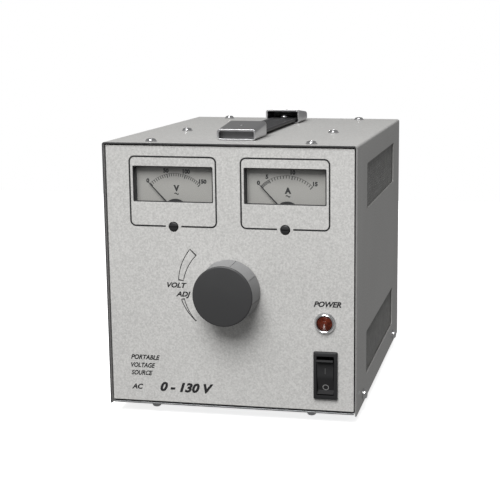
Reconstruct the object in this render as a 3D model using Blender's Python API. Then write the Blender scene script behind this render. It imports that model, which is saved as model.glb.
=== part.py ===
"""Portable variable autotransformer in a sheet steel case: metres, +Z up, front panel facing -Y.

The origin is at the centre of the object's footprint, on the surface that its feet stand on.
Most pieces are placed in the case's own frame: X across from the middle, Y back from the case's
front edge, and Z up from the case's lower edge.
"""

import math

import bmesh
import bpy

# Case
CASE_W = 0.200
CASE_D = 0.265
CASE_H = 0.210
SHEET = 0.0012
BEND_R = 0.0020
FIT = 0.0004
FOOT_H = 0.009
FOOT_X = 0.078
FOOT_INSET = 0.042

# Front and rear panels, set back inside the cover
PANEL = 0.0015
PANEL_FACE = 0.0015
PANEL_GAP = 0.0012
PANEL_HALF_W = CASE_W / 2 - SHEET - PANEL_GAP
PANEL_LOW = 0.0032
PANEL_TOP = CASE_H - SHEET - PANEL_GAP
FLANGE = 0.014
REAR_FLANGE = 0.022

# Base tray
TRAY_LOW = 0.0006
TRAY_LIP = 0.015

# Vent windows in both sides of the cover, and the screen behind them
VENT_Y = (0.052, 0.222)
VENT_Z = ((0.019, 0.055), (0.1555, 0.1915))
VENT_CORNER = 0.0015
SCREEN = 0.0008
SCREEN_Y = (0.046, 0.228)
SCREEN_Z = (0.0157, 0.198)

# Screws
SCREW_HOLE_R = 0.0026
SCREW_SHANK_R = 0.0019
SCREW_HEAD_R = 0.0038
WASHER_R = 0.0045
WASHER_T = 0.0008
TOP_SCREW_X = 0.0633
TOP_SCREW_Y = {"front": 0.0095, "middle": 0.107, "rear": 0.249}
SIDE_SCREW_Y = {"front": 0.0355, "rear": 0.2274}
SIDE_SCREW_Z = 0.0077

# Strap handle
CAP_HALF_W = 0.0156
CAP_WALL = 0.0016
CAP_FLOOR = 0.0009
CAP_CORNER = 0.0025
CAP_LOW_H = 0.0088
CAP_HIGH_H = 0.0125
CAP_FRONT = (0.028, 0.066)
CAP_REAR = (CASE_D - CAP_FRONT[1], CASE_D - CAP_FRONT[0])
STRAP_HALF_W = 0.0125
STRAP_T = 0.003
STRAP_LIFT = 0.0018
STRAP_HINGE_Y = (0.068, 0.106, CASE_D - 0.106, CASE_D - 0.068)
STRAP_END_INSET = 0.038
STRAP_GAP = 0.0008
STRAP_SCREW_INSET = 0.057
STRAP_TRAVEL = 0.005

# Knob and shaft
SHAFT_Z = 0.0962
SHAFT_R = 0.004
BORE_R = 0.00435
SHAFT_FRONT = -0.014
SHAFT_REAR = 0.193
KNOB_REACH = 0.022
KNOB_BASE_R = 0.0245
KNOB_FACE_R = 0.0236
KNOB_BACK = 0.0009
KNOB_FLATS = 8
KNOB_LIP = 0.0016
KNOB_FLAT_DEPTH = 0.0006
KNOB_FLAT_W = 0.0175
KNOB_FIRST_FLAT = math.radians(53.5)

# Autotransformer, turned about the shaft
PLATE_Y = 0.100
PLATE_HALF_W = 0.0960
COIL_Y = (0.1128, 0.1775)
COIL_R = (0.031, 0.071)
COIL_WALL = 0.0042
COIL_GAP = math.radians(36)
CORE_GAP = 0.0006
ARM_REST = math.radians(249)
ARM_Y = 0.186
ARM_T = 0.002
BRUSH_AT_R = 0.056
BRUSH_R = 0.0032

# Meters
METER_X = 0.04425
METER_HALF_W = 0.033
METER_Z = (0.139, 0.199)
METER_WALL = 0.0015
METER_FRONT = PANEL_FACE + PANEL + FIT
METER_BACK = 0.038
WINDOW_W = 0.064
WINDOW_Z = (0.164, 0.192)
WINDOW_CORNER = 0.0008
DIAL_Y = 0.0085
PIVOT_Z = 0.1565
POINTER_R = 0.0305
POINTER_REST = math.radians(133.5)
ZERO_Z = 0.1449
ZERO_R = 0.0036

# Pilot lamp and rocker switch
LAMP_X, LAMP_Z = 0.0751, 0.0733
LAMP_R = 0.0084
LENS_R = 0.0057
SWITCH_X, SWITCH_Z = 0.0756, 0.0317
SWITCH_W, SWITCH_H = 0.0189, 0.0380
ROCKER_W = 0.0129
ROCKER_DEPTH = 0.0034
ROCKER_END_R = 0.0157
ROCKER_TILT = math.radians(8)

# Rear connectors
REAR_REACH = 0.0085
INLET_X, INLET_Z = -0.052, 0.042
OUTLET_X, OUTLET_Z = 0.006, 0.042
BREAKER_X, BREAKER_Z = 0.056, 0.044
EARTH_X, EARTH_Z = -0.052, 0.078

FRONT = -(CASE_D + REAR_REACH - KNOB_REACH) / 2
REAR_FACE = CASE_D - PANEL_FACE

FINE, MEDIUM, COARSE = 48, 24, 16
X, Y, Z = 0, 1, 2

FINISHES = {
    # name: (colour, roughness, metallic)
    "case_paint": ((0.72, 0.71, 0.66), 0.45, 0.0),
    "zinc_plate": ((0.55, 0.56, 0.58), 0.35, 1.0),
    "bright_plate": ((0.80, 0.80, 0.82), 0.15, 1.0),
    "black_plastic": ((0.03, 0.03, 0.03), 0.40, 0.0),
    "knob_plastic": ((0.05, 0.05, 0.055), 0.35, 0.0),
    "strap_vinyl": ((0.04, 0.04, 0.04), 0.55, 0.0),
    "rubber": ((0.02, 0.02, 0.02), 0.80, 0.0),
    "steel": ((0.50, 0.50, 0.52), 0.30, 1.0),
    "core_steel": ((0.30, 0.31, 0.33), 0.40, 1.0),
    "enamelled_copper": ((0.45, 0.16, 0.05), 0.35, 0.6),
    "cast_aluminium": ((0.62, 0.63, 0.64), 0.45, 1.0),
    "bronze": ((0.55, 0.38, 0.16), 0.35, 1.0),
    "carbon": ((0.03, 0.03, 0.035), 0.50, 0.0),
    "board": ((0.25, 0.14, 0.06), 0.55, 0.0),
    "dial_white": ((0.85, 0.85, 0.82), 0.50, 0.0),
    "clear_window": ((0.90, 0.92, 0.93), 0.05, 0.0),
    "lens_amber": ((0.25, 0.05, 0.02), 0.15, 0.0),
}


# ---------------------------------------------------------------- shapes

def clear_scene():
    for obj in list(bpy.data.objects):
        bpy.data.objects.remove(obj, do_unlink=True)


def make_finishes():
    finishes = {}
    for name, (colour, roughness, metallic) in FINISHES.items():
        material = bpy.data.materials.new(name)
        material.use_nodes = True
        shader = material.node_tree.nodes["Principled BSDF"]
        shader.inputs["Base Color"].default_value = (*colour, 1.0)
        shader.inputs["Roughness"].default_value = roughness
        shader.inputs["Metallic"].default_value = metallic
        finishes[name] = material
    return finishes


def frame(name, place, parent=None):
    """An empty that its pieces are placed from."""
    empty = bpy.data.objects.new(name, None)
    empty.location = place
    empty.parent = parent
    bpy.context.collection.objects.link(empty)
    return empty


def point(axis, a, b, along):
    """The point at (a, b) across an axis and at a distance along it."""
    return {X: (along, a, b), Y: (a, along, b), Z: (a, b, along)}[axis]


def loft(bm, loops):
    """A closed solid through loops of as many points each, with both ends filled."""
    rings = [[bm.verts.new(co) for co in loop] for loop in loops]
    for near, far in zip(rings, rings[1:]):
        for i in range(len(near)):
            j = (i + 1) % len(near)
            bm.faces.new((near[i], near[j], far[j], far[i]))
    bm.faces.new(rings[0])
    bm.faces.new(rings[-1])


def prism(bm, axis, outline, start, end):
    loft(bm, [[point(axis, a, b, along) for a, b in outline] for along in (start, end)])


def box(bm, low, high):
    corners = [(low[X], low[Y]), (high[X], low[Y]), (high[X], high[Y]), (low[X], high[Y])]
    prism(bm, Z, corners, low[Z], high[Z])


def circle(radius, count, centre=(0.0, 0.0)):
    turn = 2 * math.pi / count
    return [
        (centre[0] + radius * math.cos(i * turn), centre[1] + radius * math.sin(i * turn))
        for i in range(count)
    ]


def arc(centre, radius, start, end, steps):
    """Points on an arc, with its angles in degrees."""
    angles = [math.radians(start + (end - start) * i / steps) for i in range(steps + 1)]
    return [(centre[0] + radius * math.cos(t), centre[1] + radius * math.sin(t)) for t in angles]


def rounded_rectangle(centre, width, height, radius, steps=3):
    cx, cz = centre
    dx, dz = width / 2 - radius, height / 2 - radius
    outline = []
    for sx, sz, start in ((1, 1, 0), (-1, 1, 90), (-1, -1, 180), (1, -1, 270)):
        outline += arc((cx + sx * dx, cz + sz * dz), radius, start, start + 90, steps)
    return outline


def lathe(bm, axis, profile, count, centre=(0.0, 0.0)):
    """Turns a closed profile of (radius, distance along the axis) about the axis."""
    rings = []
    for radius, along in profile:
        if radius == 0:
            rings.append([bm.verts.new(point(axis, *centre, along))])
        else:
            spots = circle(radius, count, centre)
            rings.append([bm.verts.new(point(axis, a, b, along)) for a, b in spots])
    for near, far in zip(rings, rings[1:] + rings[:1]):
        for i in range(count):
            j = (i + 1) % count
            corners = [near[i % len(near)], near[j % len(near)], far[j % len(far)], far[i % len(far)]]
            corners = list(dict.fromkeys(corners))
            if len(corners) > 2:
                bm.faces.new(corners)


def piece(name, bm, finish, parent, place=(0, 0, 0), is_round=False):
    """Makes the named object from a finished mesh."""
    bmesh.ops.recalc_face_normals(bm, faces=bm.faces)
    mesh = bpy.data.meshes.new(name)
    bm.to_mesh(mesh)
    bm.free()
    if is_round:
        mesh.shade_smooth()
        mesh.set_sharp_from_angle(angle=math.radians(35))
    obj = bpy.data.objects.new(name, mesh)
    obj.parent = parent
    obj.location = place
    bpy.context.collection.objects.link(obj)
    if finish:
        mesh.materials.append(finish)
    return obj


def helper(name, bm, parent):
    """A shape that is only cut from, or joined to, other pieces."""
    obj = piece(name, bm, None, parent)
    obj.hide_render = True
    obj.display_type = "WIRE"
    return obj


def combine(obj, other, operation="DIFFERENCE"):
    modifier = obj.modifiers.new(other.name, "BOOLEAN")
    modifier.operation = operation
    modifier.solver = "EXACT"
    modifier.object = other


# ---------------------------------------------------------------- case

def hole_cutters(case):
    """Cutters for the screw holes that the case's sheets share."""
    top = bmesh.new()
    spots = [(side * TOP_SCREW_X, y) for side in (-1, 1) for y in TOP_SCREW_Y.values()]
    spots += [(0, STRAP_SCREW_INSET), (0, CASE_D - STRAP_SCREW_INSET)]
    for spot in spots:
        prism(top, Z, circle(SCREW_HOLE_R, COARSE, spot), CASE_H - 0.005, CASE_H + 0.002)
    side = bmesh.new()
    for y in SIDE_SCREW_Y.values():
        outline = circle(SCREW_HOLE_R, COARSE, (y, SIDE_SCREW_Z))
        for start, end in ((-0.102, -0.096), (0.096, 0.102)):
            prism(side, X, outline, start, end)
    return helper("top_hole_cutter", top, case), helper("side_hole_cutter", side, case)


def cover_outline():
    """The cover's section: its top and both sides, with rounded bends."""
    half, inner = CASE_W / 2, CASE_W / 2 - SHEET
    bend_x, bend_z = half - BEND_R, CASE_H - BEND_R
    outline = [(half, 0.0)]
    outline += arc((bend_x, bend_z), BEND_R, 0, 90, 4)
    outline += arc((-bend_x, bend_z), BEND_R, 90, 180, 4)
    outline += [(-half, 0.0), (-inner, 0.0)]
    outline += arc((-bend_x, bend_z), BEND_R - SHEET, 180, 90, 4)
    outline += arc((bend_x, bend_z), BEND_R - SHEET, 90, 0, 4)
    return outline + [(inner, 0.0)]


def make_cover(case, finishes, top_holes, side_holes):
    bm = bmesh.new()
    prism(bm, Y, cover_outline(), 0.0, CASE_D)
    cover = piece("case_cover", bm, finishes["case_paint"], case)
    windows = bmesh.new()
    for low, high in VENT_Z:
        centre = (sum(VENT_Y) / 2, (low + high) / 2)
        outline = rounded_rectangle(centre, VENT_Y[1] - VENT_Y[0], high - low, VENT_CORNER)
        prism(windows, X, outline, -0.11, 0.11)
    for cutter in (helper("vent_cutter", windows, case), top_holes, side_holes):
        combine(cover, cutter)


def panel_outline(face, inward, flange):
    """A panel's section: its face, and a flange along its top and bottom turned inward."""
    back = face + inward * PANEL
    edge = face + inward * (PANEL + flange)
    return [
        (face, PANEL_LOW), (edge, PANEL_LOW), (edge, PANEL_LOW + PANEL), (back, PANEL_LOW + PANEL),
        (back, PANEL_TOP - PANEL), (edge, PANEL_TOP - PANEL), (edge, PANEL_TOP), (face, PANEL_TOP),
    ]


def make_front_panel(case, finishes, top_holes):
    bm = bmesh.new()
    prism(bm, X, panel_outline(PANEL_FACE, 1, FLANGE), -PANEL_HALF_W, PANEL_HALF_W)
    panel = piece("front_panel", bm, finishes["case_paint"], case)
    cuts = bmesh.new()
    window_mid = sum(WINDOW_Z) / 2
    outlines = [
        circle(0.0069, MEDIUM, (0, SHAFT_Z)),
        circle(0.0056, MEDIUM, (LAMP_X, LAMP_Z)),
        rounded_rectangle((SWITCH_X, SWITCH_Z), 0.0164, 0.0344, 0.0005, 1),
    ]
    for side in (-1, 1):
        centre = (side * METER_X, window_mid)
        height = WINDOW_Z[1] - WINDOW_Z[0]
        outlines.append(rounded_rectangle(centre, WINDOW_W, height, WINDOW_CORNER, 2))
        outlines.append(circle(ZERO_R + FIT, COARSE, (side * METER_X, ZERO_Z)))
    for outline in outlines:
        prism(cuts, Y, outline, 0.0, 0.005)
    combine(panel, helper("front_panel_cutter", cuts, case))
    combine(panel, top_holes)


def make_rear_panel(case, finishes, top_holes):
    bm = bmesh.new()
    prism(bm, X, panel_outline(REAR_FACE, -1, REAR_FLANGE), -PANEL_HALF_W, PANEL_HALF_W)
    panel = piece("rear_panel", bm, finishes["case_paint"], case)
    cuts = bmesh.new()
    for outline in (
        rounded_rectangle((INLET_X, INLET_Z), 0.0278, 0.0206, 0.002, 2),
        rounded_rectangle((OUTLET_X, OUTLET_Z), 0.0336, 0.0276, 0.002, 2),
        circle(0.0062, MEDIUM, (BREAKER_X, BREAKER_Z)),
        circle(SCREW_HOLE_R, COARSE, (EARTH_X, EARTH_Z)),
    ):
        prism(cuts, Y, outline, CASE_D - 0.005, CASE_D)
    combine(panel, helper("rear_panel_cutter", cuts, case))
    combine(panel, top_holes)


def make_tray(case, finishes, side_holes):
    half, inner = PANEL_HALF_W, PANEL_HALF_W - SHEET
    floor = TRAY_LOW + SHEET
    outline = [
        (-half, TRAY_LOW), (half, TRAY_LOW), (half, TRAY_LIP), (inner, TRAY_LIP),
        (inner, floor), (-inner, floor), (-inner, TRAY_LIP), (-half, TRAY_LIP),
    ]
    bm = bmesh.new()
    prism(bm, Y, outline, PANEL_FACE - 0.0001, REAR_FACE)
    tray = piece("base_tray", bm, finishes["zinc_plate"], case)
    notches = bmesh.new()
    clear_front = PANEL_FACE + PANEL + FLANGE + FIT
    clear_rear = REAR_FACE - PANEL - REAR_FLANGE - FIT
    for side in (-1, 1):
        low_x, high_x = sorted((side * 0.0962, side * 0.0995))
        for low_y, high_y in ((0.0, clear_front), (clear_rear, CASE_D)):
            box(notches, (low_x, low_y, floor + 0.0002), (high_x, high_y, TRAY_LIP + 0.001))
    combine(tray, helper("tray_cutter", notches, case))
    combine(tray, side_holes)


def make_screens(case, finishes):
    outer = CASE_W / 2 - SHEET - FIT
    for name, side in (("left", -1), ("right", 1)):
        low_x, high_x = sorted((side * outer, side * (outer - SCREEN)))
        bm = bmesh.new()
        box(bm, (low_x, SCREEN_Y[0], SCREEN_Z[0]), (high_x, SCREEN_Y[1], SCREEN_Z[1]))
        piece(f"vent_screen_{name}", bm, finishes["case_paint"], case)


def make_feet(case, finishes):
    profile = [(0, -FOOT_H), (0.0075, -FOOT_H), (0.0085, -FOOT_H + 0.001), (0.0075, 0.0003), (0, 0.0003)]
    for end, y in (("front", FOOT_INSET), ("rear", CASE_D - FOOT_INSET)):
        for name, side in (("left", -1), ("right", 1)):
            bm = bmesh.new()
            lathe(bm, Z, profile, MEDIUM)
            place = (side * FOOT_X, y, 0)
            piece(f"foot_{end}_{name}", bm, finishes["rubber"], case, place, is_round=True)


def screw_profile(seat, out, shank, washer=True):
    """A pan head screw: out is +1 or -1, the way its head points along the axis."""
    head = seat + out * WASHER_T if washer else seat
    profile = [(0, seat - out * shank), (SCREW_SHANK_R, seat - out * shank), (SCREW_SHANK_R, seat)]
    if washer:
        profile += [(WASHER_R, seat), (WASHER_R, head)]
    profile += [
        (SCREW_HEAD_R, head), (SCREW_HEAD_R, head + out * 0.0012),
        (0.0030, head + out * 0.0021), (0, head + out * 0.0025),
    ]
    return profile


def make_screws(case, finishes):
    plate = finishes["bright_plate"]
    for name, side in (("left", -1), ("right", 1)):
        for end, y in TOP_SCREW_Y.items():
            bm = bmesh.new()
            lathe(bm, Z, screw_profile(0, 1, 0.007), COARSE)
            place = (side * TOP_SCREW_X, y, CASE_H + 0.0003)
            piece(f"top_screw_{end}_{name}", bm, plate, case, place, is_round=True)
        for end, y in SIDE_SCREW_Y.items():
            bm = bmesh.new()
            lathe(bm, X, screw_profile(0, side, 0.007), COARSE)
            place = (side * (CASE_W / 2 + 0.0003), y, SIDE_SCREW_Z)
            piece(f"side_screw_{end}_{name}", bm, plate, case, place, is_round=True)


# ---------------------------------------------------------------- handle

def cap_section(half_w, low, high, corner):
    """A rectangle that stands on its lower edge, with rounded upper corners."""
    turn, level = half_w - corner, high - corner
    outline = [(half_w, low)] + arc((turn, level), corner, 0, 90, 4)
    return outline + arc((-turn, level), corner, 90, 180, 4) + [(-half_w, low)]


def make_caps(case, finishes):
    """The end caps: tubes that the strap runs into, each open at both ends."""
    ends = {"front": (CAP_FRONT, (CAP_LOW_H, CAP_HIGH_H)), "rear": (CAP_REAR, (CAP_HIGH_H, CAP_LOW_H))}
    base, inner_r = CASE_H + 0.0003, CAP_CORNER - CAP_WALL
    for name, (reach, heights) in ends.items():
        slope = (heights[1] - heights[0]) / (reach[1] - reach[0])
        outer, inner = [], []
        for y, height in zip(reach, heights):
            section = cap_section(CAP_HALF_W, base, CASE_H + height, CAP_CORNER)
            outer.append([(x, y, z) for x, z in section])
        for y, past in ((reach[0], -0.001), (reach[1], 0.001)):
            high = CASE_H + heights[0] + slope * (y + past - reach[0]) - CAP_WALL
            section = cap_section(CAP_HALF_W - CAP_WALL, base + CAP_FLOOR, high, inner_r)
            inner.append([(x, y + past, z) for x, z in section])
        bm = bmesh.new()
        loft(bm, outer)
        cap = piece(f"handle_cap_{name}", bm, finishes["bright_plate"], case, is_round=True)
        hollow = bmesh.new()
        loft(hollow, inner)
        combine(cap, helper(f"cap_hollow_{name}", hollow, case))
        screw_y = STRAP_SCREW_INSET if name == "front" else CASE_D - STRAP_SCREW_INSET
        bore = bmesh.new()
        prism(bore, Z, circle(SCREW_HOLE_R, COARSE, (0, screw_y)), base - 0.001, base + 0.002)
        combine(cap, helper(f"cap_bore_{name}", bore, case))


def make_strap(case, finishes):
    """The strap in five lengths: each moving one has its origin on the hinge at its front end."""
    mid_z = CASE_H + STRAP_LIFT + STRAP_T / 2
    starts = (STRAP_END_INSET, *STRAP_HINGE_Y)
    ends = (*STRAP_HINGE_Y, CASE_D - STRAP_END_INSET)
    names = ("front_end", "rise", "middle", "fall", "rear_end")
    holes = bmesh.new()
    front_hole = circle(SCREW_HOLE_R, COARSE, (0, STRAP_SCREW_INSET))
    prism(holes, Z, front_hole, mid_z - 0.005, mid_z + 0.005)
    slot_mid = CASE_D - STRAP_SCREW_INSET + STRAP_TRAVEL / 2
    slot_length = STRAP_TRAVEL + 2 * SCREW_HOLE_R
    slot = rounded_rectangle((0, slot_mid), 2 * SCREW_HOLE_R, slot_length, SCREW_HOLE_R, 4)
    prism(holes, Z, list(dict.fromkeys(slot)), mid_z - 0.005, mid_z + 0.005)
    cutter = helper("strap_hole_cutter", holes, case)
    for index, (name, start, end) in enumerate(zip(names, starts, ends)):
        low = start + (STRAP_GAP / 2 if index > 0 else 0)
        high = end - (STRAP_GAP / 2 if index < 4 else 0)
        bm = bmesh.new()
        box(bm, (-STRAP_HALF_W, low - start, -STRAP_T / 2), (STRAP_HALF_W, high - start, STRAP_T / 2))
        strap = piece(f"strap_{name}", bm, finishes["strap_vinyl"], case, (0, start, mid_z))
        if index in (0, 4):
            combine(strap, cutter)


def make_strap_screws(case, finishes):
    seat = CASE_H + STRAP_LIFT + STRAP_T + 0.0003
    for name, y in (("front", STRAP_SCREW_INSET), ("rear", CASE_D - STRAP_SCREW_INSET)):
        bm = bmesh.new()
        lathe(bm, Z, screw_profile(0, 1, 0.012, washer=False), COARSE)
        piece(f"strap_screw_{name}", bm, finishes["zinc_plate"], case, (0, y, seat), is_round=True)


# ---------------------------------------------------------------- knob and autotransformer

def make_knob(shaft, finishes):
    face, back = -KNOB_REACH, KNOB_BACK
    profile = [
        (0, face), (KNOB_FACE_R - 0.0009, face), (KNOB_FACE_R - 0.0003, face + 0.0003),
        (KNOB_FACE_R, face + 0.0009), (KNOB_BASE_R, back), (BORE_R, back),
        (BORE_R, SHAFT_FRONT - 0.0005), (0, SHAFT_FRONT - 0.0005),
    ]
    bm = bmesh.new()
    lathe(bm, Y, profile, FINE)
    knob = piece("knob", bm, finishes["knob_plastic"], shaft, is_round=True)
    flats = bmesh.new()
    slope = (KNOB_BASE_R - KNOB_FACE_R) / (back - face)
    for i in range(KNOB_FLATS):
        turn = KNOB_FIRST_FLAT + i * 2 * math.pi / KNOB_FLATS
        out = (math.cos(turn), math.sin(turn))
        across = (-out[1], out[0])
        loops = []
        for y in (face + KNOB_LIP, back + 0.002):
            near = KNOB_FACE_R + slope * (y - face) - KNOB_FLAT_DEPTH
            corners = [(near, -1), (near, 1), (0.027, 1), (0.027, -1)]
            half = KNOB_FLAT_W / 2
            loops.append([
                (r * out[0] + s * half * across[0], y, r * out[1] + s * half * across[1])
                for r, s in corners
            ])
        loft(flats, loops)
    combine(knob, helper("knob_flat_cutter", flats, shaft))


def make_shaft(shaft, finishes):
    bm = bmesh.new()
    ends = [(0, SHAFT_FRONT), (SHAFT_R - 0.0005, SHAFT_FRONT), (SHAFT_R, SHAFT_FRONT + 0.0005)]
    lathe(bm, Y, ends + [(SHAFT_R, SHAFT_REAR), (0, SHAFT_REAR)], MEDIUM)
    piece("shaft", bm, finishes["steel"], shaft, is_round=True)
    bm = bmesh.new()
    panel_back = PANEL_FACE + PANEL + 0.0003
    bush = [
        (BORE_R, PANEL_FACE + 0.0001), (0.0065, PANEL_FACE + 0.0001), (0.0065, panel_back),
        (0.009, panel_back), (0.009, panel_back + 0.002), (0.0065, panel_back + 0.002),
        (0.0065, 0.012), (BORE_R, 0.012),
    ]
    lathe(bm, Y, bush, MEDIUM)
    piece("shaft_bush", bm, finishes["bronze"], shaft, is_round=True)


def make_mounting_plate(case, finishes, top_holes):
    low, high = TRAY_LOW + SHEET + FIT, PANEL_TOP
    front, back, edge = PLATE_Y, PLATE_Y + PANEL, PLATE_Y + FLANGE
    outline = [
        (front, low), (edge, low), (edge, low + PANEL), (back, low + PANEL),
        (back, high - PANEL), (edge, high - PANEL), (edge, high), (front, high),
    ]
    bm = bmesh.new()
    prism(bm, X, outline, -PLATE_HALF_W, PLATE_HALF_W)
    plate = piece("mounting_plate", bm, finishes["zinc_plate"], case)
    cuts = bmesh.new()
    prism(cuts, Y, circle(0.009, MEDIUM, (0, SHAFT_Z)), front - 0.002, back + 0.002)
    combine(plate, helper("mounting_plate_cutter", cuts, case))
    combine(plate, top_holes)


def make_coil(shaft, finishes):
    foot = PLATE_Y + PANEL + FIT
    hub_end = COIL_Y[1] + 0.0003
    base = [
        (0.005, foot), (0.068, foot), (0.068, foot + 0.009), (0.064, foot + 0.009),
        (0.064, foot + 0.004), (0.012, foot + 0.004), (0.012, hub_end), (0.005, hub_end),
    ]
    bm = bmesh.new()
    lathe(bm, Y, base, FINE)
    piece("transformer_base", bm, finishes["cast_aluminium"], shaft, is_round=True)

    inset = COIL_WALL + CORE_GAP
    core = [
        (COIL_R[0] + inset, COIL_Y[0] + inset), (COIL_R[1] - inset, COIL_Y[0] + inset),
        (COIL_R[1] - inset, COIL_Y[1] - inset), (COIL_R[0] + inset, COIL_Y[1] - inset),
    ]
    bm = bmesh.new()
    lathe(bm, Y, core, FINE)
    piece("core", bm, finishes["core_steel"], shaft, is_round=True)

    bm = bmesh.new()
    wind(bm)
    piece("winding", bm, finishes["enamelled_copper"], shaft, is_round=True)


def wind(bm):
    """The winding's sleeve round the core, open at the gap at the foot of the ring."""
    steps = 40
    sections = []
    for inset in (0.0, COIL_WALL):
        low_r, high_r = COIL_R[0] + inset, COIL_R[1] - inset
        low_y, high_y = COIL_Y[0] + inset, COIL_Y[1] - inset
        sections.append([(low_r, low_y), (high_r, low_y), (high_r, high_y), (low_r, high_y)])
    start = -math.pi / 2 + COIL_GAP / 2
    stations = []
    for i in range(steps + 1):
        turn = start + (2 * math.pi - COIL_GAP) * i / steps
        stations.append([
            [bm.verts.new((r * math.cos(turn), y, r * math.sin(turn))) for r, y in section]
            for section in sections
        ])
    for near, far in zip(stations, stations[1:]):
        for skin in range(2):
            for i in range(4):
                j = (i + 1) % 4
                bm.faces.new((near[skin][i], near[skin][j], far[skin][j], far[skin][i]))
    for outer, inner in (stations[0], stations[-1]):
        for i in range(4):
            j = (i + 1) % 4
            bm.faces.new((outer[i], outer[j], inner[j], inner[i]))


def make_brush_gear(shaft, finishes):
    """The arm that the shaft turns, and the carbon brush that it carries round the winding."""
    brush_spot = (BRUSH_AT_R * math.cos(ARM_REST), BRUSH_AT_R * math.sin(ARM_REST))
    out = (math.cos(ARM_REST), math.sin(ARM_REST))
    across = (-out[1], out[0])
    bm = bmesh.new()
    tip_angle = math.degrees(ARM_REST)
    outline = arc((0, 0), 0.020, tip_angle + 45, tip_angle + 315, 18)
    outline += arc(brush_spot, 0.0095, tip_angle - 80, tip_angle + 80, 8)
    prism(bm, Y, outline, ARM_Y, ARM_Y + ARM_T)
    arm = piece("brush_arm", bm, finishes["cast_aluminium"], shaft)
    hub = bmesh.new()
    lathe(hub, Y, [(0, 0.181), (0.009, 0.181), (0.009, 0.195), (0, 0.195)], MEDIUM)
    combine(arm, helper("arm_hub", hub, shaft), "UNION")
    bores = bmesh.new()
    prism(bores, Y, circle(BORE_R, MEDIUM), 0.178, 0.198)
    prism(bores, Y, circle(0.0059, MEDIUM, brush_spot), 0.178, 0.198)
    combine(arm, helper("arm_bore_cutter", bores, shaft))

    holder = [
        (0.0036, 0.1803), (0.0055, 0.1803), (0.0055, 0.196), (0, 0.196), (0, 0.1948), (0.0036, 0.1948),
    ]
    bm = bmesh.new()
    lathe(bm, Y, holder, MEDIUM, brush_spot)
    piece("brush_holder", bm, finishes["bronze"], shaft, is_round=True)

    front = COIL_Y[1] + 0.0004
    bm = bmesh.new()
    lathe(bm, Y, [(0, front), (BRUSH_R, front), (BRUSH_R, 0.1848), (0, 0.1848)], COARSE)
    carried = (brush_spot[0], 0, brush_spot[1])
    piece("brush", bm, finishes["carbon"], shaft, carried, is_round=True)

    bm = bmesh.new()
    coil_spring(bm, 0.0024, 0.00035, 0.1872, 0.1943, 5)
    piece("brush_spring", bm, finishes["steel"], shaft, carried, is_round=True)

    bm = bmesh.new()
    board = [(-0.011, -0.014), (0.011, -0.014), (0.011, -0.078), (-0.011, -0.078)]
    prism(bm, Y, board, COIL_Y[1] + 0.0008, COIL_Y[1] + 0.0028)
    block = piece("terminal_board", bm, finishes["board"], shaft)
    posts = bmesh.new()
    prism(posts, Y, circle(0.0042, COARSE, (0, -0.044)), COIL_Y[1] + 0.0018, ARM_Y + ARM_T + 0.002)
    for x in (-0.006, 0.006):
        box(posts, (x - 0.0015, COIL_Y[1] + 0.0018, -0.090), (x + 0.0015, COIL_Y[1] + 0.0024, -0.070))
    combine(block, helper("board_posts", posts, shaft), "UNION")
    return across


def coil_spring(bm, radius, wire_r, low, high, turns):
    """A closed helical wire along Y."""
    steps, sides = turns * 10, 6
    loops = []
    for i in range(steps + 1):
        turn = 2 * math.pi * turns * i / steps
        y = low + wire_r + (high - low - 2 * wire_r) * i / steps
        loop = []
        for a, b in circle(wire_r, sides):
            r = radius + a
            loop.append((r * math.cos(turn), y + b, r * math.sin(turn)))
        loops.append(loop)
    loft(bm, loops)


# ---------------------------------------------------------------- meters

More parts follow.
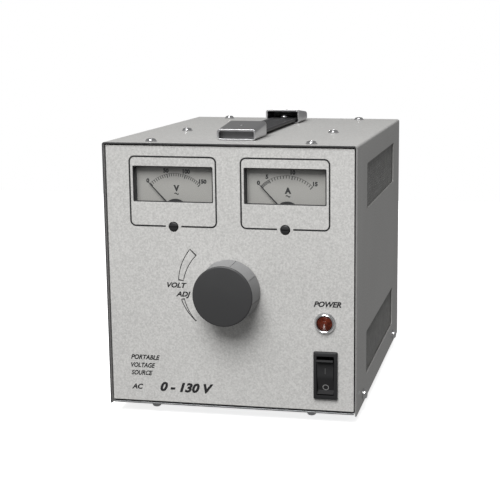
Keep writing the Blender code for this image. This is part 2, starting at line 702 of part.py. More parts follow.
def make_meter(case, finishes, name, side):
    x = side * METER_X
    low, high = METER_Z
    bm = bmesh.new()
    box(bm, (x - METER_HALF_W, METER_FRONT, low), (x + METER_HALF_W, 0.015, high))
    body = piece(f"{name}_meter_case", bm, finishes["black_plastic"], case)
    drum = bmesh.new()
    centre = (x, PIVOT_Z + 0.0115)
    drum_profile = [(0, 0.013), (0.026, 0.013), (0.026, METER_BACK - 0.001), (0.025, METER_BACK), (0, METER_BACK)]
    lathe(drum, Y, drum_profile, 32, centre)
    combine(body, helper(f"{name}_meter_drum", drum, case), "UNION")
    pocket = bmesh.new()
    wall = METER_WALL
    box(
        pocket,
        (x - METER_HALF_W + wall, METER_FRONT - 0.001, low + wall),
        (x + METER_HALF_W - wall, 0.0125, high - wall),
    )
    combine(body, helper(f"{name}_meter_pocket", pocket, case))

    inner = METER_HALF_W - wall - FIT
    bm = bmesh.new()
    box(bm, (x - inner, METER_FRONT + 0.0001, PIVOT_Z + 0.001), (x + inner, 0.0047, high - wall - FIT))
    piece(f"{name}_meter_window", bm, finishes["clear_window"], case)

    bm = bmesh.new()
    box(bm, (x - inner, DIAL_Y, low + wall + FIT), (x + inner, DIAL_Y + 0.0007, high - wall - FIT))
    dial = piece(f"{name}_meter_dial", bm, finishes["dial_white"], case)
    hole = bmesh.new()
    prism(hole, Y, circle(0.0042, COARSE, (x, PIVOT_Z)), DIAL_Y - 0.001, DIAL_Y + 0.002)
    combine(dial, helper(f"{name}_dial_cutter", hole, case))

    pivot = frame(f"{name}_pivot", (x, 0, PIVOT_Z), case)
    bm = bmesh.new()
    out = (math.cos(POINTER_REST), math.sin(POINTER_REST))
    across = (-out[1], out[0])
    blade = []
    for r, s in ((POINTER_R, 0.00015), (POINTER_R, -0.00015), (0.0, -0.0006), (-0.009, -0.0011), (-0.009, 0.0011), (0.0, 0.0006)):
        blade.append((r * out[0] + s * across[0], r * out[1] + s * across[1]))
    prism(bm, Y, blade, 0.0064, 0.0069)
    pointer = piece(f"{name}_pointer", bm, finishes["black_plastic"], pivot)
    hub = bmesh.new()
    lathe(hub, Y, [(0, 0.0060), (0.0028, 0.0060), (0.0028, 0.0112), (0, 0.0112)], COARSE)
    combine(pointer, helper(f"{name}_pointer_hub", hub, pivot), "UNION")

    bm = bmesh.new()
    screw = [(0, 0.0009), (ZERO_R - 0.0004, 0.0009), (ZERO_R, 0.0013), (ZERO_R, 0.0032),
             (0.0015, 0.0032), (0.0015, 0.0076), (0, 0.0076)]
    lathe(bm, Y, screw, COARSE)
    head = piece(f"{name}_zero_screw", bm, finishes["black_plastic"], case, (x, 0, ZERO_Z), is_round=True)
    slot = bmesh.new()
    box(slot, (x - 0.005, 0.0, ZERO_Z - 0.0004), (x + 0.005, 0.0017, ZERO_Z + 0.0004))
    combine(head, helper(f"{name}_zero_slot", slot, case))


# ---------------------------------------------------------------- lamp, switch and rear connectors

def make_lamp(case, finishes):
    face = PANEL_FACE
    bezel = [
        (LENS_R + 0.0003, face - 0.0028), (LAMP_R - 0.0012, face - 0.0028), (LAMP_R - 0.0002, face - 0.0020),
        (LAMP_R, face - 0.0010), (LAMP_R, face - 0.0003), (0.0052, face - 0.0003), (0.0052, 0.024),
        (0, 0.024), (0, 0.006), (0.0042, 0.006), (0.0042, face + 0.0006), (LENS_R + 0.0003, face + 0.0003 - 0.0010),
    ]
    bm = bmesh.new()
    lathe(bm, Y, bezel, 32, (LAMP_X, LAMP_Z))
    piece("pilot_lamp_bezel", bm, finishes["bright_plate"], case, is_round=True)
    lens = [
        (0, face - 0.0034), (0.0030, face - 0.0031), (0.0050, face - 0.0023), (LENS_R, face - 0.0014),
        (LENS_R, face - 0.0011), (0.0038, face + 0.0003), (0.0038, 0.0055), (0, 0.0055),
    ]
    bm = bmesh.new()
    lathe(bm, Y, lens, MEDIUM, (LAMP_X, LAMP_Z))
    piece("pilot_lamp_lens", bm, finishes["lens_amber"], case, is_round=True)


def make_switch(case, finishes):
    centre = (SWITCH_X, SWITCH_Z)
    bm = bmesh.new()
    prism(bm, Y, rounded_rectangle(centre, SWITCH_W, SWITCH_H, 0.0008, 2), PANEL_FACE - 0.0027, PANEL_FACE - 0.0003)
    housing = piece("switch_housing", bm, finishes["black_plastic"], case)
    body = bmesh.new()
    prism(body, Y, rounded_rectangle(centre, 0.0156, 0.0336, 0.0004, 1), PANEL_FACE - 0.001, 0.030)
    combine(housing, helper("switch_body", body, case), "UNION")
    pocket = bmesh.new()
    prism(pocket, Y, rounded_rectangle(centre, ROCKER_W + 0.0008, 0.0312, 0.0004, 1), -0.004, 0.013)
    combine(housing, helper("switch_pocket", pocket, case))

    pivot = frame("rocker_pivot", (SWITCH_X, PANEL_FACE + ROCKER_DEPTH, SWITCH_Z), case)
    face = -ROCKER_DEPTH - 0.0026
    # Each half of its face leans by the tilt, and each end is turned about the pivot.
    edge = 90 + math.degrees(math.asin((-face + 0.0020) / ROCKER_END_R))
    end = arc((0, 0), ROCKER_END_R, edge, edge - 8, 3)
    half = end + [(-0.0020, 0.0125), (0.0025, 0.0050)]
    profile = [(face, 0.0)] + half + [(y, -z) for y, z in reversed(half)]
    cos, sin = math.cos(ROCKER_TILT), math.sin(ROCKER_TILT)
    tilted = [(y * cos - z * sin, y * sin + z * cos) for y, z in profile]
    bm = bmesh.new()
    prism(bm, X, tilted, -ROCKER_W / 2, ROCKER_W / 2)
    piece("rocker", bm, finishes["black_plastic"], pivot)


def make_rear_connectors(case, finishes):
    face = REAR_FACE
    black = finishes["black_plastic"]
    centre = (INLET_X, INLET_Z)
    bm = bmesh.new()
    prism(bm, Y, rounded_rectangle(centre, 0.0315, 0.0245, 0.0025, 2), face + 0.0003, face + 0.0028)
    inlet = piece("mains_inlet", bm, black, case)
    body = bmesh.new()
    prism(body, Y, rounded_rectangle(centre, 0.0270, 0.0198, 0.0015, 1), face - 0.018, face + 0.001)
    combine(inlet, helper("inlet_body", body, case), "UNION")
    cavity = bmesh.new()
    prism(cavity, Y, rounded_rectangle(centre, 0.0244, 0.0166, 0.0015, 1), face - 0.014, face + 0.004)
    combine(inlet, helper("inlet_cavity", cavity, case))
    pins = bmesh.new()
    for x, z in ((-0.007, 0.002), (0.007, 0.002), (0.0, -0.002)):
        spot = (INLET_X + x, INLET_Z + z)
        prism(pins, Y, rounded_rectangle(spot, 0.002, 0.004, 0.0003, 1), face - 0.0145, face - 0.001)
    combine(inlet, helper("inlet_pins", pins, case), "UNION")

    centre = (OUTLET_X, OUTLET_Z)
    bm = bmesh.new()
    prism(bm, Y, rounded_rectangle(centre, 0.0400, 0.0340, 0.003, 2), face + 0.0003, face + 0.0035)
    outlet = piece("output_socket", bm, black, case)
    body = bmesh.new()
    prism(body, Y, rounded_rectangle(centre, 0.0330, 0.0270, 0.0015, 1), face - 0.022, face + 0.001)
    combine(outlet, helper("outlet_body", body, case), "UNION")
    slots = bmesh.new()
    for x, height in ((-0.0063, 0.0085), (0.0063, 0.0070)):
        spot = (OUTLET_X + x, OUTLET_Z + 0.003)
        prism(slots, Y, rounded_rectangle(spot, 0.0022, height, 0.0003, 1), face - 0.014, face + 0.005)
    earth = rounded_rectangle((OUTLET_X, OUTLET_Z - 0.0085), 0.0052, 0.0058, 0.0024, 3)
    prism(slots, Y, earth, face - 0.014, face + 0.005)
    combine(outlet, helper("outlet_slots", slots, case))

    centre = (BREAKER_X, BREAKER_Z)
    collar = [
        (0.0035, face + 0.0040), (0.0080, face + 0.0040), (0.0088, face + 0.0032), (0.0088, face + 0.0003),
        (0.0056, face + 0.0003), (0.0056, face - 0.010), (0.0110, face - 0.010), (0.0110, face - 0.030),
        (0, face - 0.030), (0, face - 0.012), (0.0035, face - 0.012),
    ]
    bm = bmesh.new()
    lathe(bm, Y, collar, MEDIUM, centre)
    piece("circuit_breaker", bm, black, case, is_round=True)
    tip = CASE_D + REAR_REACH
    button = [
        (0, tip), (0.0022, tip - 0.0003), (0.0031, tip - 0.0012), (0.0031, face - 0.008), (0, face - 0.008),
    ]
    bm = bmesh.new()
    lathe(bm, Y, button, MEDIUM, centre)
    piece("breaker_button", bm, finishes["dial_white"], case, is_round=True)

    bm = bmesh.new()
    lathe(bm, Y, screw_profile(0, 1, 0.010), COARSE)
    place = (EARTH_X, face + 0.0003, EARTH_Z)
    piece("earth_screw", bm, finishes["bright_plate"], case, place, is_round=True)


def main():
    clear_scene()
    finishes = make_finishes()
    case = frame("case_frame", (0, FRONT, FOOT_H))
    shaft = frame("shaft_axis", (0, 0, SHAFT_Z), case)
    top_holes, side_holes = hole_cutters(case)
    make_cover(case, finishes, top_holes, side_holes)
    make_front_panel(case, finishes, top_holes)
    make_rear_panel(case, finishes, top_holes)
    make_tray(case, finishes, side_holes)
    make_screens(case, finishes)
    make_feet(case, finishes)
    make_screws(case, finishes)
    make_caps(case, finishes)
    make_strap(case, finishes)
    make_strap_screws(case, finishes)
    make_knob(shaft, finishes)
    make_shaft(shaft, finishes)
    make_mounting_plate(case, finishes, top_holes)
    make_coil(shaft, finishes)
    make_brush_gear(shaft, finishes)
    make_meter(case, finishes, "volt", -1)
    make_meter(case, finishes, "amp", 1)
    make_lamp(case, finishes)
    make_switch(case, finishes)
    make_rear_connectors(case, finishes)


main()
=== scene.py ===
"""Finishes, fine pieces and stage for a portable variable autotransformer.

Sizes are in metres. The case's own frame has X across from the middle, Y back from the cover's
front edge and Z up from its lower edge, and on_case() turns a place in it into the row's frame.
"""

import math

import bmesh
import bpy
from mathutils import Matrix, Vector


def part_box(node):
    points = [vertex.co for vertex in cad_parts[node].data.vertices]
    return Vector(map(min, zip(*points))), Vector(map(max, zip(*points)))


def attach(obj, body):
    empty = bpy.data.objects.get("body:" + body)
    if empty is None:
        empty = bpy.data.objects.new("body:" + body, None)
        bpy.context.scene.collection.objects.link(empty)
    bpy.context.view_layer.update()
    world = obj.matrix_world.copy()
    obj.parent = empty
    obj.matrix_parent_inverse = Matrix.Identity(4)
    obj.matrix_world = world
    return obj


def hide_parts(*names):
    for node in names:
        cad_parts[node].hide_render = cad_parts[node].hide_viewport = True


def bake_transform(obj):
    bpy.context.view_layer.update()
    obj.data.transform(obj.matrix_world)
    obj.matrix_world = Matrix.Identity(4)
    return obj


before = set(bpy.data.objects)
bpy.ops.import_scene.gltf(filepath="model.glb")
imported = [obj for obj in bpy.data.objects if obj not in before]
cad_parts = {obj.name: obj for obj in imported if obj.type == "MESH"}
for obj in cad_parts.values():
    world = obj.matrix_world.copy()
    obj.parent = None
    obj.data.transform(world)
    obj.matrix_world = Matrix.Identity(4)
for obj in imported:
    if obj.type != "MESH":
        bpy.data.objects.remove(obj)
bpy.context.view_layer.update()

bl_info = {
    "name": "Variable Autotransformer",
    "version": (1, 0, 0),
    "blender": (4, 5, 0),
    "location": "3D View > Sidebar > Autotransformer",
    "description": "Finishes, fine pieces and stage for a portable variable autotransformer",
    "category": "Object",
}

X, Y, Z = 0, 1, 2
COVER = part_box("case_cover")
CASE_W, CASE_D, CASE_H = COVER[1] - COVER[0]
ORIGIN = Vector((0.0, COVER[0].y, COVER[0].z))
PANEL_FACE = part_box("front_panel")[0].y - ORIGIN.y
REAR_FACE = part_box("rear_panel")[1].y - ORIGIN.y
SIDES = {"left": -1, "right": 1}
TOP_SCREW_X, TOP_SCREWS = 0.0633, {"front": 0.0095, "middle": 0.107, "rear": 0.249}
SIDE_SCREW_Z, SIDE_SCREWS = 0.0077, {"front": 0.0355, "rear": 0.2274}
SCREW_HOLE_R = 0.0024
CAP_SCREW_Y = 0.057
CAP_SCREW_HOLE_R = 0.0026
SHAFT_Z = 0.0962
KNOB_PANELS, FIRST_GROOVE = 8, 31.0
PIVOT_Z = 0.1565
ZERO_SCREW_Z = 0.1449
SCALE_ZERO, SCALE_SWEEP = 133.5, 87.0
DIAL_FACE = 0.0085
LAMP = (0.0751, 0.0733)
SWITCH = (0.0756, 0.0317)
ROCKER_TILT = math.radians(8)
ROCKER_FRONT, ROCKER_DISH, ROCKER_REACH = -0.0060, 0.0020, 0.0135
STRAP_Z = CASE_H + 0.0033
SHARP = math.radians(35)
INK_DEPTH, DIAL_INK_DEPTH = 0.00006, 0.00003
WHITE = (1.0, 1.0, 1.0, 1.0)
FINISHES = {}


def on_case(x, y, z):
    return ORIGIN + Vector((x, y, z))


def case_box(node):
    """A CAD node's low corner, high corner and middle, in the case's own frame."""
    low, high = (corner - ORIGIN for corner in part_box(node))
    return low, high, (low + high) / 2


# ---------------------------------------------------------------- shapes

def mm(base, *spots, out=0.0):
    """Points given in millimetres from out and base, which are in metres."""
    return [(out + a / 1000, base + b / 1000) for a, b in spots]


def polar(radius, angle, centre=(0.0, 0.0)):
    """The point at a radius and an angle in degrees."""
    turn = math.radians(angle)
    return centre[0] + radius * math.cos(turn), centre[1] + radius * math.sin(turn)


def circle(radius, count, centre=(0.0, 0.0)):
    return [polar(radius, 360 * i / count, centre) for i in range(count)]


def arc(centre, radius, start, end, steps):
    return [polar(radius, start + (end - start) * i / steps, centre) for i in range(steps + 1)]


def rounded_rectangle(centre, width, height, radius, steps=4):
    dx, dz = width / 2 - radius, height / 2 - radius
    outline = []
    for sx, sz, start in ((1, 1, 0), (-1, 1, 90), (-1, -1, 180), (1, -1, 270)):
        outline += arc((centre[0] + sx * dx, centre[1] + sz * dz), radius, start, start + 90, steps)
    return outline


def point(axis, a, b, along):
    return {X: (along, a, b), Y: (a, along, b), Z: (a, b, along)}[axis]


def flat(axis, outline, along):
    """The outline as points in space, at a distance along the axis."""
    return [point(axis, a, b, along) for a, b in outline]


def leaning(angle, centre, spots):
    """Points of (distance out, distance across) from the centre, along a line at an angle."""
    turn = math.radians(angle)
    cos, sin = math.cos(turn), math.sin(turn)
    return [(centre[0] + r * cos - s * sin, centre[1] + r * sin + s * cos) for r, s in spots]


def join(bm, near, far):
    """Faces between two rings of as many vertices each."""
    for i in range(len(near)):
        j = (i + 1) % len(near)
        bm.faces.new((near[i], near[j], far[j], far[i]))


def loft(bm, loops, is_ring=False):
    """A skin through loops of as many points each: closed into a ring, or with its ends filled."""
    rings = [[bm.verts.new(co) for co in loop] for loop in loops]
    for near, far in zip(rings, rings[1:] + rings[:1] if is_ring else rings[1:]):
        join(bm, near, far)
    if not is_ring:
        bm.faces.new(rings[0])
        bm.faces.new(rings[-1])


def prism(bm, axis, outline, start, end):
    loft(bm, [flat(axis, outline, along) for along in (start, end)])


def box(bm, low, high):
    corners = [(low[X], low[Y]), (high[X], low[Y]), (high[X], high[Y]), (low[X], high[Y])]
    prism(bm, Z, corners, low[Z], high[Z])


def lathe(bm, axis, profile, count, centre=(0.0, 0.0)):
    """Turns a closed profile of (radius, distance along the axis) about the axis."""
    rings = []
    for radius, along in profile:
        spots = circle(radius, count, centre) if radius else [centre]
        rings.append([bm.verts.new(co) for co in flat(axis, spots, along)])
    for near, far in zip(rings, rings[1:] + rings[:1]):
        for i in range(count):
            j = (i + 1) % count
            corners = [near[i % len(near)], near[j % len(near)], far[j % len(far)], far[i % len(far)]]
            corners = list(dict.fromkeys(corners))
            if len(corners) > 2:
                bm.faces.new(corners)


def new_object(name, bm):
    """An object from a finished mesh, which is in the case's own frame."""
    bmesh.ops.translate(bm, verts=bm.verts, vec=ORIGIN)
    bmesh.ops.recalc_face_normals(bm, faces=bm.faces)
    mesh = bpy.data.meshes.new(name)
    bm.to_mesh(mesh)
    bm.free()
    mesh.shade_smooth()
    mesh.set_sharp_from_angle(angle=SHARP)
    obj = bpy.data.objects.new(name, mesh)
    bpy.context.collection.objects.link(obj)
    return obj


def build(name, *shapes, turned=None):
    """An object from shapes, each given as its function and what that takes after the mesh."""
    bm = bmesh.new()
    for shape, *values in shapes:
        shape(bm, *values)
    if turned:
        bmesh.ops.transform(bm, verts=bm.verts, matrix=turned)
    return new_object(name, bm)


def cut(obj, *shapes, operation="DIFFERENCE"):
    """Cuts the shapes away from the object, or joins them on."""
    tool = build(obj.name + "_tool", *shapes)
    modifier = obj.modifiers.new("cut", "BOOLEAN")
    modifier.operation = operation
    modifier.solver = "EXACT"
    modifier.object = tool
    graph = bpy.context.evaluated_depsgraph_get()
    mesh = bpy.data.meshes.new_from_object(obj.evaluated_get(graph))
    obj.modifiers.clear()
    obj.data = mesh
    mesh.set_sharp_from_angle(angle=SHARP)
    bpy.data.objects.remove(tool, do_unlink=True)


def soften(obj, width, segments=2, angle=30):
    """Rounds the object's edges a little."""
    modifier = obj.modifiers.new("edges", "BEVEL")
    modifier.width = width
    modifier.segments = segments
    modifier.limit_method = "ANGLE"
    modifier.angle_limit = math.radians(angle)
    modifier.harden_normals = True


def settle(obj, finish, body="case", stands_for=(), slot=None):
    """Gives a piece its finish and the body that it rides on; its slot is not used."""
    obj.data.materials.clear()
    obj.data.materials.append(FINISHES[finish])
    if stands_for:
        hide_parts(*stands_for)
    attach(obj, body)


def piece(name, finish, *shapes, cuts=(), edge=0.0, turned=None, **settled):
    """A piece that is built from shapes, less its cuts, with its edges rounded."""
    obj = build(name, *shapes, turned=turned)
    if cuts:
        cut(obj, *cuts)
    if edge:
        soften(obj, edge)
    settle(obj, finish, **settled)


def finish_node(name, finish, edge=0.0):
    """Gives a CAD node its finish, and rounds its edges a little."""
    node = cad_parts[name]
    node.data.materials.clear()
    node.data.materials.append(FINISHES[finish])
    if edge:
        node.modifiers.new("weld", "WELD").merge_threshold = 1e-6
        soften(node, edge)


# ---------------------------------------------------------------- shader maths

def maths_operator(operation, is_swapped=False):
    def run(self, other):
        return self.maths(operation, *((other, self) if is_swapped else (self, other)))
    return run


class Signal:
    """One output of a shader node, on which Python's operators add Math nodes."""

    def __init__(self, finish, socket):
        self.finish = finish
        self.socket = socket

    def maths(self, operation, *values):
        return self.finish.node("ShaderNodeMath", {"operation": operation}, dict(enumerate(values)))

    __add__, __radd__ = maths_operator("ADD"), maths_operator("ADD", True)
    __sub__, __rsub__ = maths_operator("SUBTRACT"), maths_operator("SUBTRACT", True)
    __mul__, __rmul__ = maths_operator("MULTIPLY"), maths_operator("MULTIPLY", True)
    __truediv__, over = maths_operator("DIVIDE"), maths_operator("GREATER_THAN")

    def wave(self):
        """A smooth wave from 0 to 1 that repeats once for each unit."""
        return self.maths("SINE", self * (2 * math.pi)) * 0.5 + 0.5


class Finish:
    """A material, its Principled shader, and the one way in which nodes are added to it."""

    def __init__(self, name, colour, roughness, metallic=0.0, **constants):
        self.material = bpy.data.materials.new(name)
        self.material.use_nodes = True
        self.tree = self.material.node_tree
        self.shader = self.tree.nodes["Principled BSDF"]
        self.colour = (*colour, 1.0)
        self.set("Base Color", self.colour)
        self.set("Roughness", roughness)
        self.set("Metallic", metallic)
        for socket, value in constants.items():
            self.set(socket.replace("_", " "), value)

    def set(self, socket, value):
        self.put(self.shader.inputs[socket], value)

    def put(self, socket, value):
        if isinstance(value, Signal):
            self.tree.links.new(value.socket, socket)
        else:
            socket.default_value = value

    def node(self, kind, settings=None, inputs=None, output=0):
        node = self.tree.nodes.new(kind)
        for name, value in (settings or {}).items():
            setattr(node, name, value)
        for name, value in (inputs or {}).items():
            self.put(node.inputs[name], value)
        return Signal(self, node.outputs[output])

    def place(self, stretch=None):
        """The place on the object, with each axis scaled on its own where a stretch is given."""
        place = self.node("ShaderNodeTexCoord", output="Object")
        if stretch is None:
            return place
        return self.node("ShaderNodeVectorMath", {"operation": "MULTIPLY"}, {0: place, 1: stretch})

    def noise(self, scale, detail=3.0, roughness=0.5, stretch=None):
        inputs = {"Vector": self.place(stretch), "Scale": scale, "Detail": detail, "Roughness": roughness}
        return self.node("ShaderNodeTexNoise", None, inputs)

    def cells(self, scale, stretch=None):
        return self.node("ShaderNodeTexVoronoi", None, {"Vector": self.place(stretch), "Scale": scale})

    def patches(self, noise, low, high):
        """A noise whose levels from low to high are spread over 0 to 1."""
        ramp = self.node("ShaderNodeValToRGB", None, {0: noise})
        elements = ramp.socket.node.color_ramp.elements
        for element, position, level in zip(elements, (low, high), (0.0, 1.0)):
            element.position = position
            element.color = (level, level, level, 1.0)
        return ramp

    def blend(self, factor, first, second):
        """A mix of two colours."""
        return self.node("ShaderNodeMix", {"data_type": "RGBA"}, {0: factor, 6: first, 7: second}, 2)

    def worn(self, factor, shade, roughness, relief, depth):
        """Sets the tone, roughness and relief. The shade is a colour, or a share of the base colour."""
        if not isinstance(shade, tuple):
            shade = tuple(c * shade for c in self.colour[:3])
        self.set("Base Color", self.blend(factor, self.colour, (*shade, 1.0)))
        self.set("Roughness", roughness)
        bump = {"Height": relief, "Distance": depth, "Strength": 1.0}
        self.set("Normal", self.node("ShaderNodeBump", None, bump))
        return self.material

    def even(self, texture, share, shade, base, spread, depth):
        """Lets one texture run through the tone, the roughness and the relief."""
        return self.worn(texture * share, shade, base + texture * spread, texture, depth)


def paint_finish(settings):
    """Baked enamel with a fine orange peel and faint dust."""
    finish = Finish("case_enamel", settings.paint, 0.42, Coat_Weight=0.15, Coat_Roughness=0.3)
    peel = finish.noise(settings.peel, 2.0, 0.45)
    cloud = finish.patches(finish.noise(9.0, 4.0, 0.6), 0.35, 0.75)
    grain = finish.patches(finish.noise(settings.grain, 2.0, 0.7), 0.34, 0.66)
    return finish.worn(cloud * 0.2 + grain * 0.8, 0.70, 0.38 + peel * 0.14, peel, 0.00006)


def shaded_screen_finish(settings):
    """The case's enamel over perforated sheet, at half its colour as painted shade for the recess behind the
    vent windows, with dust round the holes.
    """
    # Half the paint's colour: painted shade for the recess behind the vent windows.
    finish = Finish("screen_enamel", tuple(c * 0.5 for c in settings.paint), 0.5)
    dust = finish.patches(finish.noise(140.0, 5.0, 0.7), 0.4, 0.75)
    grain = finish.noise(settings.grain * 1.5, 2.0, 0.7)
    return finish.worn(dust * 0.4 + grain * 0.6, 0.65, 0.45 + dust * 0.2, grain, 0.00004)


def front_edge_shade_finish():
    """The cover's front edge in painted shade: near black where the gap round the front panel lies in shadow,
    and a painted mid grey along the right-hand side, where that edge catches some light.
    """
    finish = Finish("sheared_edge", (0.030, 0.030, 0.031), 0.6)
    across = finish.node("ShaderNodeSeparateXYZ", None, {0: finish.place()})
    grain = finish.noise(900.0)
    finish.colour = finish.blend(grain, finish.colour, (0.05, 0.05, 0.052, 1.0))
    # Painted light: the right-hand strip of the edge is a lighter grey than the shaded top and left.
    lit_right_edge = across.over(CASE_W / 2 - 0.0016)
    return finish.worn(lit_right_edge, (0.21, 0.21, 0.205), 0.5 + grain * 0.2, grain, 0.00004)


def zinc_finish():
    finish = Finish("zinc_plate", (0.56, 0.57, 0.58), 0.38, 1.0)
    cloud = finish.noise(25.0, 5.0, 0.6)
    spangle = finish.cells(90.0) * 0.5 + cloud * 0.5
    return finish.worn(spangle, 0.72, 0.28 + cloud * 0.25, finish.noise(700.0), 0.00002)


def nickel_finish(name, colour, stretch, roughness):
    """Bright plate over a surface that was brushed along the shortest stretch."""
    finish = Finish(name, colour, roughness, 1.0)
    brushed = finish.noise(1.0, 4.0, 0.6, stretch)
    return finish.worn(finish.noise(60.0) * 0.6, 0.80, roughness + brushed * 0.14, brushed, 0.00001)


def plastic_finish(name, colour, roughness, grain=1500.0, depth=0.00003, **constants):
    """Moulded plastic with a fine spark-eroded texture and slight wear."""
    finish = Finish(name, colour, roughness, **constants)
    texture = finish.noise(grain, 2.0, 0.6)
    wear = finish.patches(finish.noise(45.0, 5.0, 0.65), 0.45, 0.80)
    return finish.worn(texture * 0.6, 0.7, roughness + texture * 0.12 - wear * 0.08, texture, depth)


def vinyl_finish():
    finish = Finish("strap_vinyl", (0.045, 0.045, 0.047), 0.5)
    grain, fine = finish.cells(900.0, (1.0, 0.6, 1.0)), finish.noise(2400.0, 2.0)
    return finish.worn(grain * 0.8, 0.55, 0.42 + fine * 0.2, grain * 0.7 + fine * 0.3, 0.00006)


def rubber_finish():
    finish = Finish("foot_rubber", (0.022, 0.022, 0.023), 0.75)
    dust = finish.patches(finish.noise(180.0, 5.0, 0.7), 0.45, 0.8)
    grain = finish.noise(1600.0, 2.0)
    return finish.worn(dust * 0.5, (0.07, 0.068, 0.065), 0.65 + dust * 0.2, grain, 0.00004)


def ground_steel_finish():
    finish = Finish("ground_steel", (0.50, 0.50, 0.52), 0.28, 1.0)
    return finish.even(finish.noise(1.0, 3.0, 0.6, (60.0, 2500.0, 60.0)), 0.8, 0.7, 0.2, 0.2, 0.00001)


def from_shaft(finish):
    """The place on the object across the shaft's axis: a radius and a turn from 0 to 1."""
    x = finish.node("ShaderNodeSeparateXYZ", None, {0: finish.place()})
    z = Signal(finish, x.socket.node.outputs[2]) - (ORIGIN.z + SHAFT_Z)
    return (x * x + z * z).maths("POWER", x * x + z * z, 0.5), x.maths("ARCTAN2", z, x) / (2 * math.pi)


def core_finish():
    """The edges of a tightly wound steel strip."""
    finish = Finish("core_strip", (0.30, 0.31, 0.34), 0.4, 1.0)
    radius, _turn = from_shaft(finish)
    layers = (radius * 1600.0).wave()
    tone = layers * 0.7 + finish.noise(40.0, 4.0) * 0.3
    return finish.worn(tone, 0.55, 0.35 + layers * 0.15, layers, 0.00003)


def winding_finish(turns):
    """Enamelled wire wound side by side round the core, darker between the turns as painted shade in the
    grooves between the wires.
    """
    finish = Finish("enamelled_wire", (0.42, 0.13, 0.035), 0.3, 0.5, Coat_Weight=0.6, Coat_Roughness=0.15)
    _radius, turn = from_shaft(finish)
    wires = (turn * turns).wave()
    # Painted shade: the colour drops to a quarter between the turns; the same wave gives the wires their
    # relief.
    return finish.worn(1.0 - wires, 0.25, 0.25 + finish.noise(80.0, 4.0) * 0.2, wires, 0.0004)


def cast_finish():
    finish = Finish("cast_aluminium", (0.60, 0.61, 0.62), 0.45, 1.0)
    return finish.even(finish.noise(650.0, 4.0, 0.7), 1.0, 0.7, 0.4, 0.2, 0.00012)


def laminate_finish():
    finish = Finish("board_laminate", (0.22, 0.11, 0.045), 0.5)
    return finish.even(finish.noise(1.0, 4.0, 0.6, (900.0, 200.0, 120.0)), 1.0, 0.6, 0.4, 0.2, 0.00003)


def card_finish():
    """A painted dial plate, yellowed a little in places."""
    finish = Finish("dial_card", (0.37, 0.366, 0.35), 0.55)
    cloud = finish.noise(60.0, 4.0, 0.6)
    grain = finish.noise(1800.0, 2.0)
    return finish.worn(cloud * 0.4, (0.29, 0.28, 0.25), 0.5 + cloud * 0.1, grain, 0.00001)


def ink_finish(name, colour):
    """Screen-printed ink, with the paint's texture showing through it."""
    finish = Finish(name, colour, 0.5)
    return finish.even(finish.noise(1300.0, 3.0, 0.6), 1.0, 0.8, 0.45, 0.2, 0.00002)


def window_finish():
    finish = Finish("window_acrylic", (0.30, 0.31, 0.31), 0.04, Alpha=0.04)
    finish.set("Roughness", 0.03 + finish.noise(55.0, 4.0, 0.6) * 0.06)
    finish.material.surface_render_method = "BLENDED"
    return finish.material


def lens_finish(colour):
    """A tinted lamp lens that is dark because the lamp is off."""
    finish = Finish("lamp_lens", colour, 0.12, Coat_Weight=0.8, Coat_Roughness=0.05)
    return finish.even(finish.cells(420.0), 1.0, 0.35, 0.08, 0.12, 0.0001)


def make_finishes(settings):
    """All the finishes, made once and then found by name."""
    if FINISHES:
        return
    FINISHES.update(
        paint=paint_finish(settings),
        screen=shaded_screen_finish(settings),
        # Painted shade for the cover's front edge.
        edge=front_edge_shade_finish(),
        zinc=zinc_finish(),
        cap_plate=nickel_finish("cap_plate", (0.62, 0.62, 0.63), (1400.0, 60.0, 1400.0), 0.24),
        bright=nickel_finish("bright_plate", (0.78, 0.78, 0.79), (900.0, 900.0, 900.0), 0.14),
        black=plastic_finish("black_plastic", (0.013, 0.013, 0.014), 0.45),
        rocker=plastic_finish("rocker_plastic", (0.027, 0.027, 0.028), 0.55, Specular_IOR_Level=0.12),
        plug=plastic_finish("plug_plastic", (0.13, 0.13, 0.132), 0.55),
        knob=plastic_finish("knob_face", settings.knob, 0.42, 1800.0, 0.00002),
        skirt=plastic_finish("knob_skirt", settings.skirt, 0.6, 1500.0, 0.00001, Specular_IOR_Level=0.15),
        vinyl=vinyl_finish(),
        rubber=rubber_finish(),
        steel=ground_steel_finish(),
        core=core_finish(),
        winding=winding_finish(300),
        cast=cast_finish(),
        bronze=nickel_finish("turned_bronze", (0.50, 0.33, 0.13), (60.0, 2000.0, 60.0), 0.25),
        carbon=plastic_finish("brush_carbon", (0.03, 0.03, 0.032), 0.5, 2200.0),
        board=laminate_finish(),
        card=card_finish(),
        ink=ink_finish("black_ink", settings.ink),
        mark=ink_finish("white_ink", (0.30, 0.30, 0.295)),
        # The rocker's 'I' mark ink, darkened as painted shade on the rocker's raised half.
        faint=ink_finish("grey_ink", (0.06, 0.06, 0.06)),
        button=plastic_finish("button_plastic", (0.70, 0.69, 0.66), 0.3, 1200.0, 0.00001),
        window=window_finish(),
        lens=lens_finish(settings.lens),
    )


# ---------------------------------------------------------------- case

def cover_outline():
    """The cover's section: its top and both sides, with rounded bends."""
    half, sheet, bend_r = CASE_W / 2, 0.0012, 0.0020
    inner, bend_x, bend_z = half - sheet, half - bend_r, CASE_H - bend_r
    outline = [(half, 0.0)] + arc((bend_x, bend_z), bend_r, 0, 90, 8)
    outline += arc((-bend_x, bend_z), bend_r, 90, 180, 8) + [(-half, 0.0), (-inner, 0.0)]
    outline += arc((-bend_x, bend_z), bend_r - sheet, 180, 90, 8)
    return outline + arc((bend_x, bend_z), bend_r - sheet, 90, 0, 8) + [(inner, 0.0)]


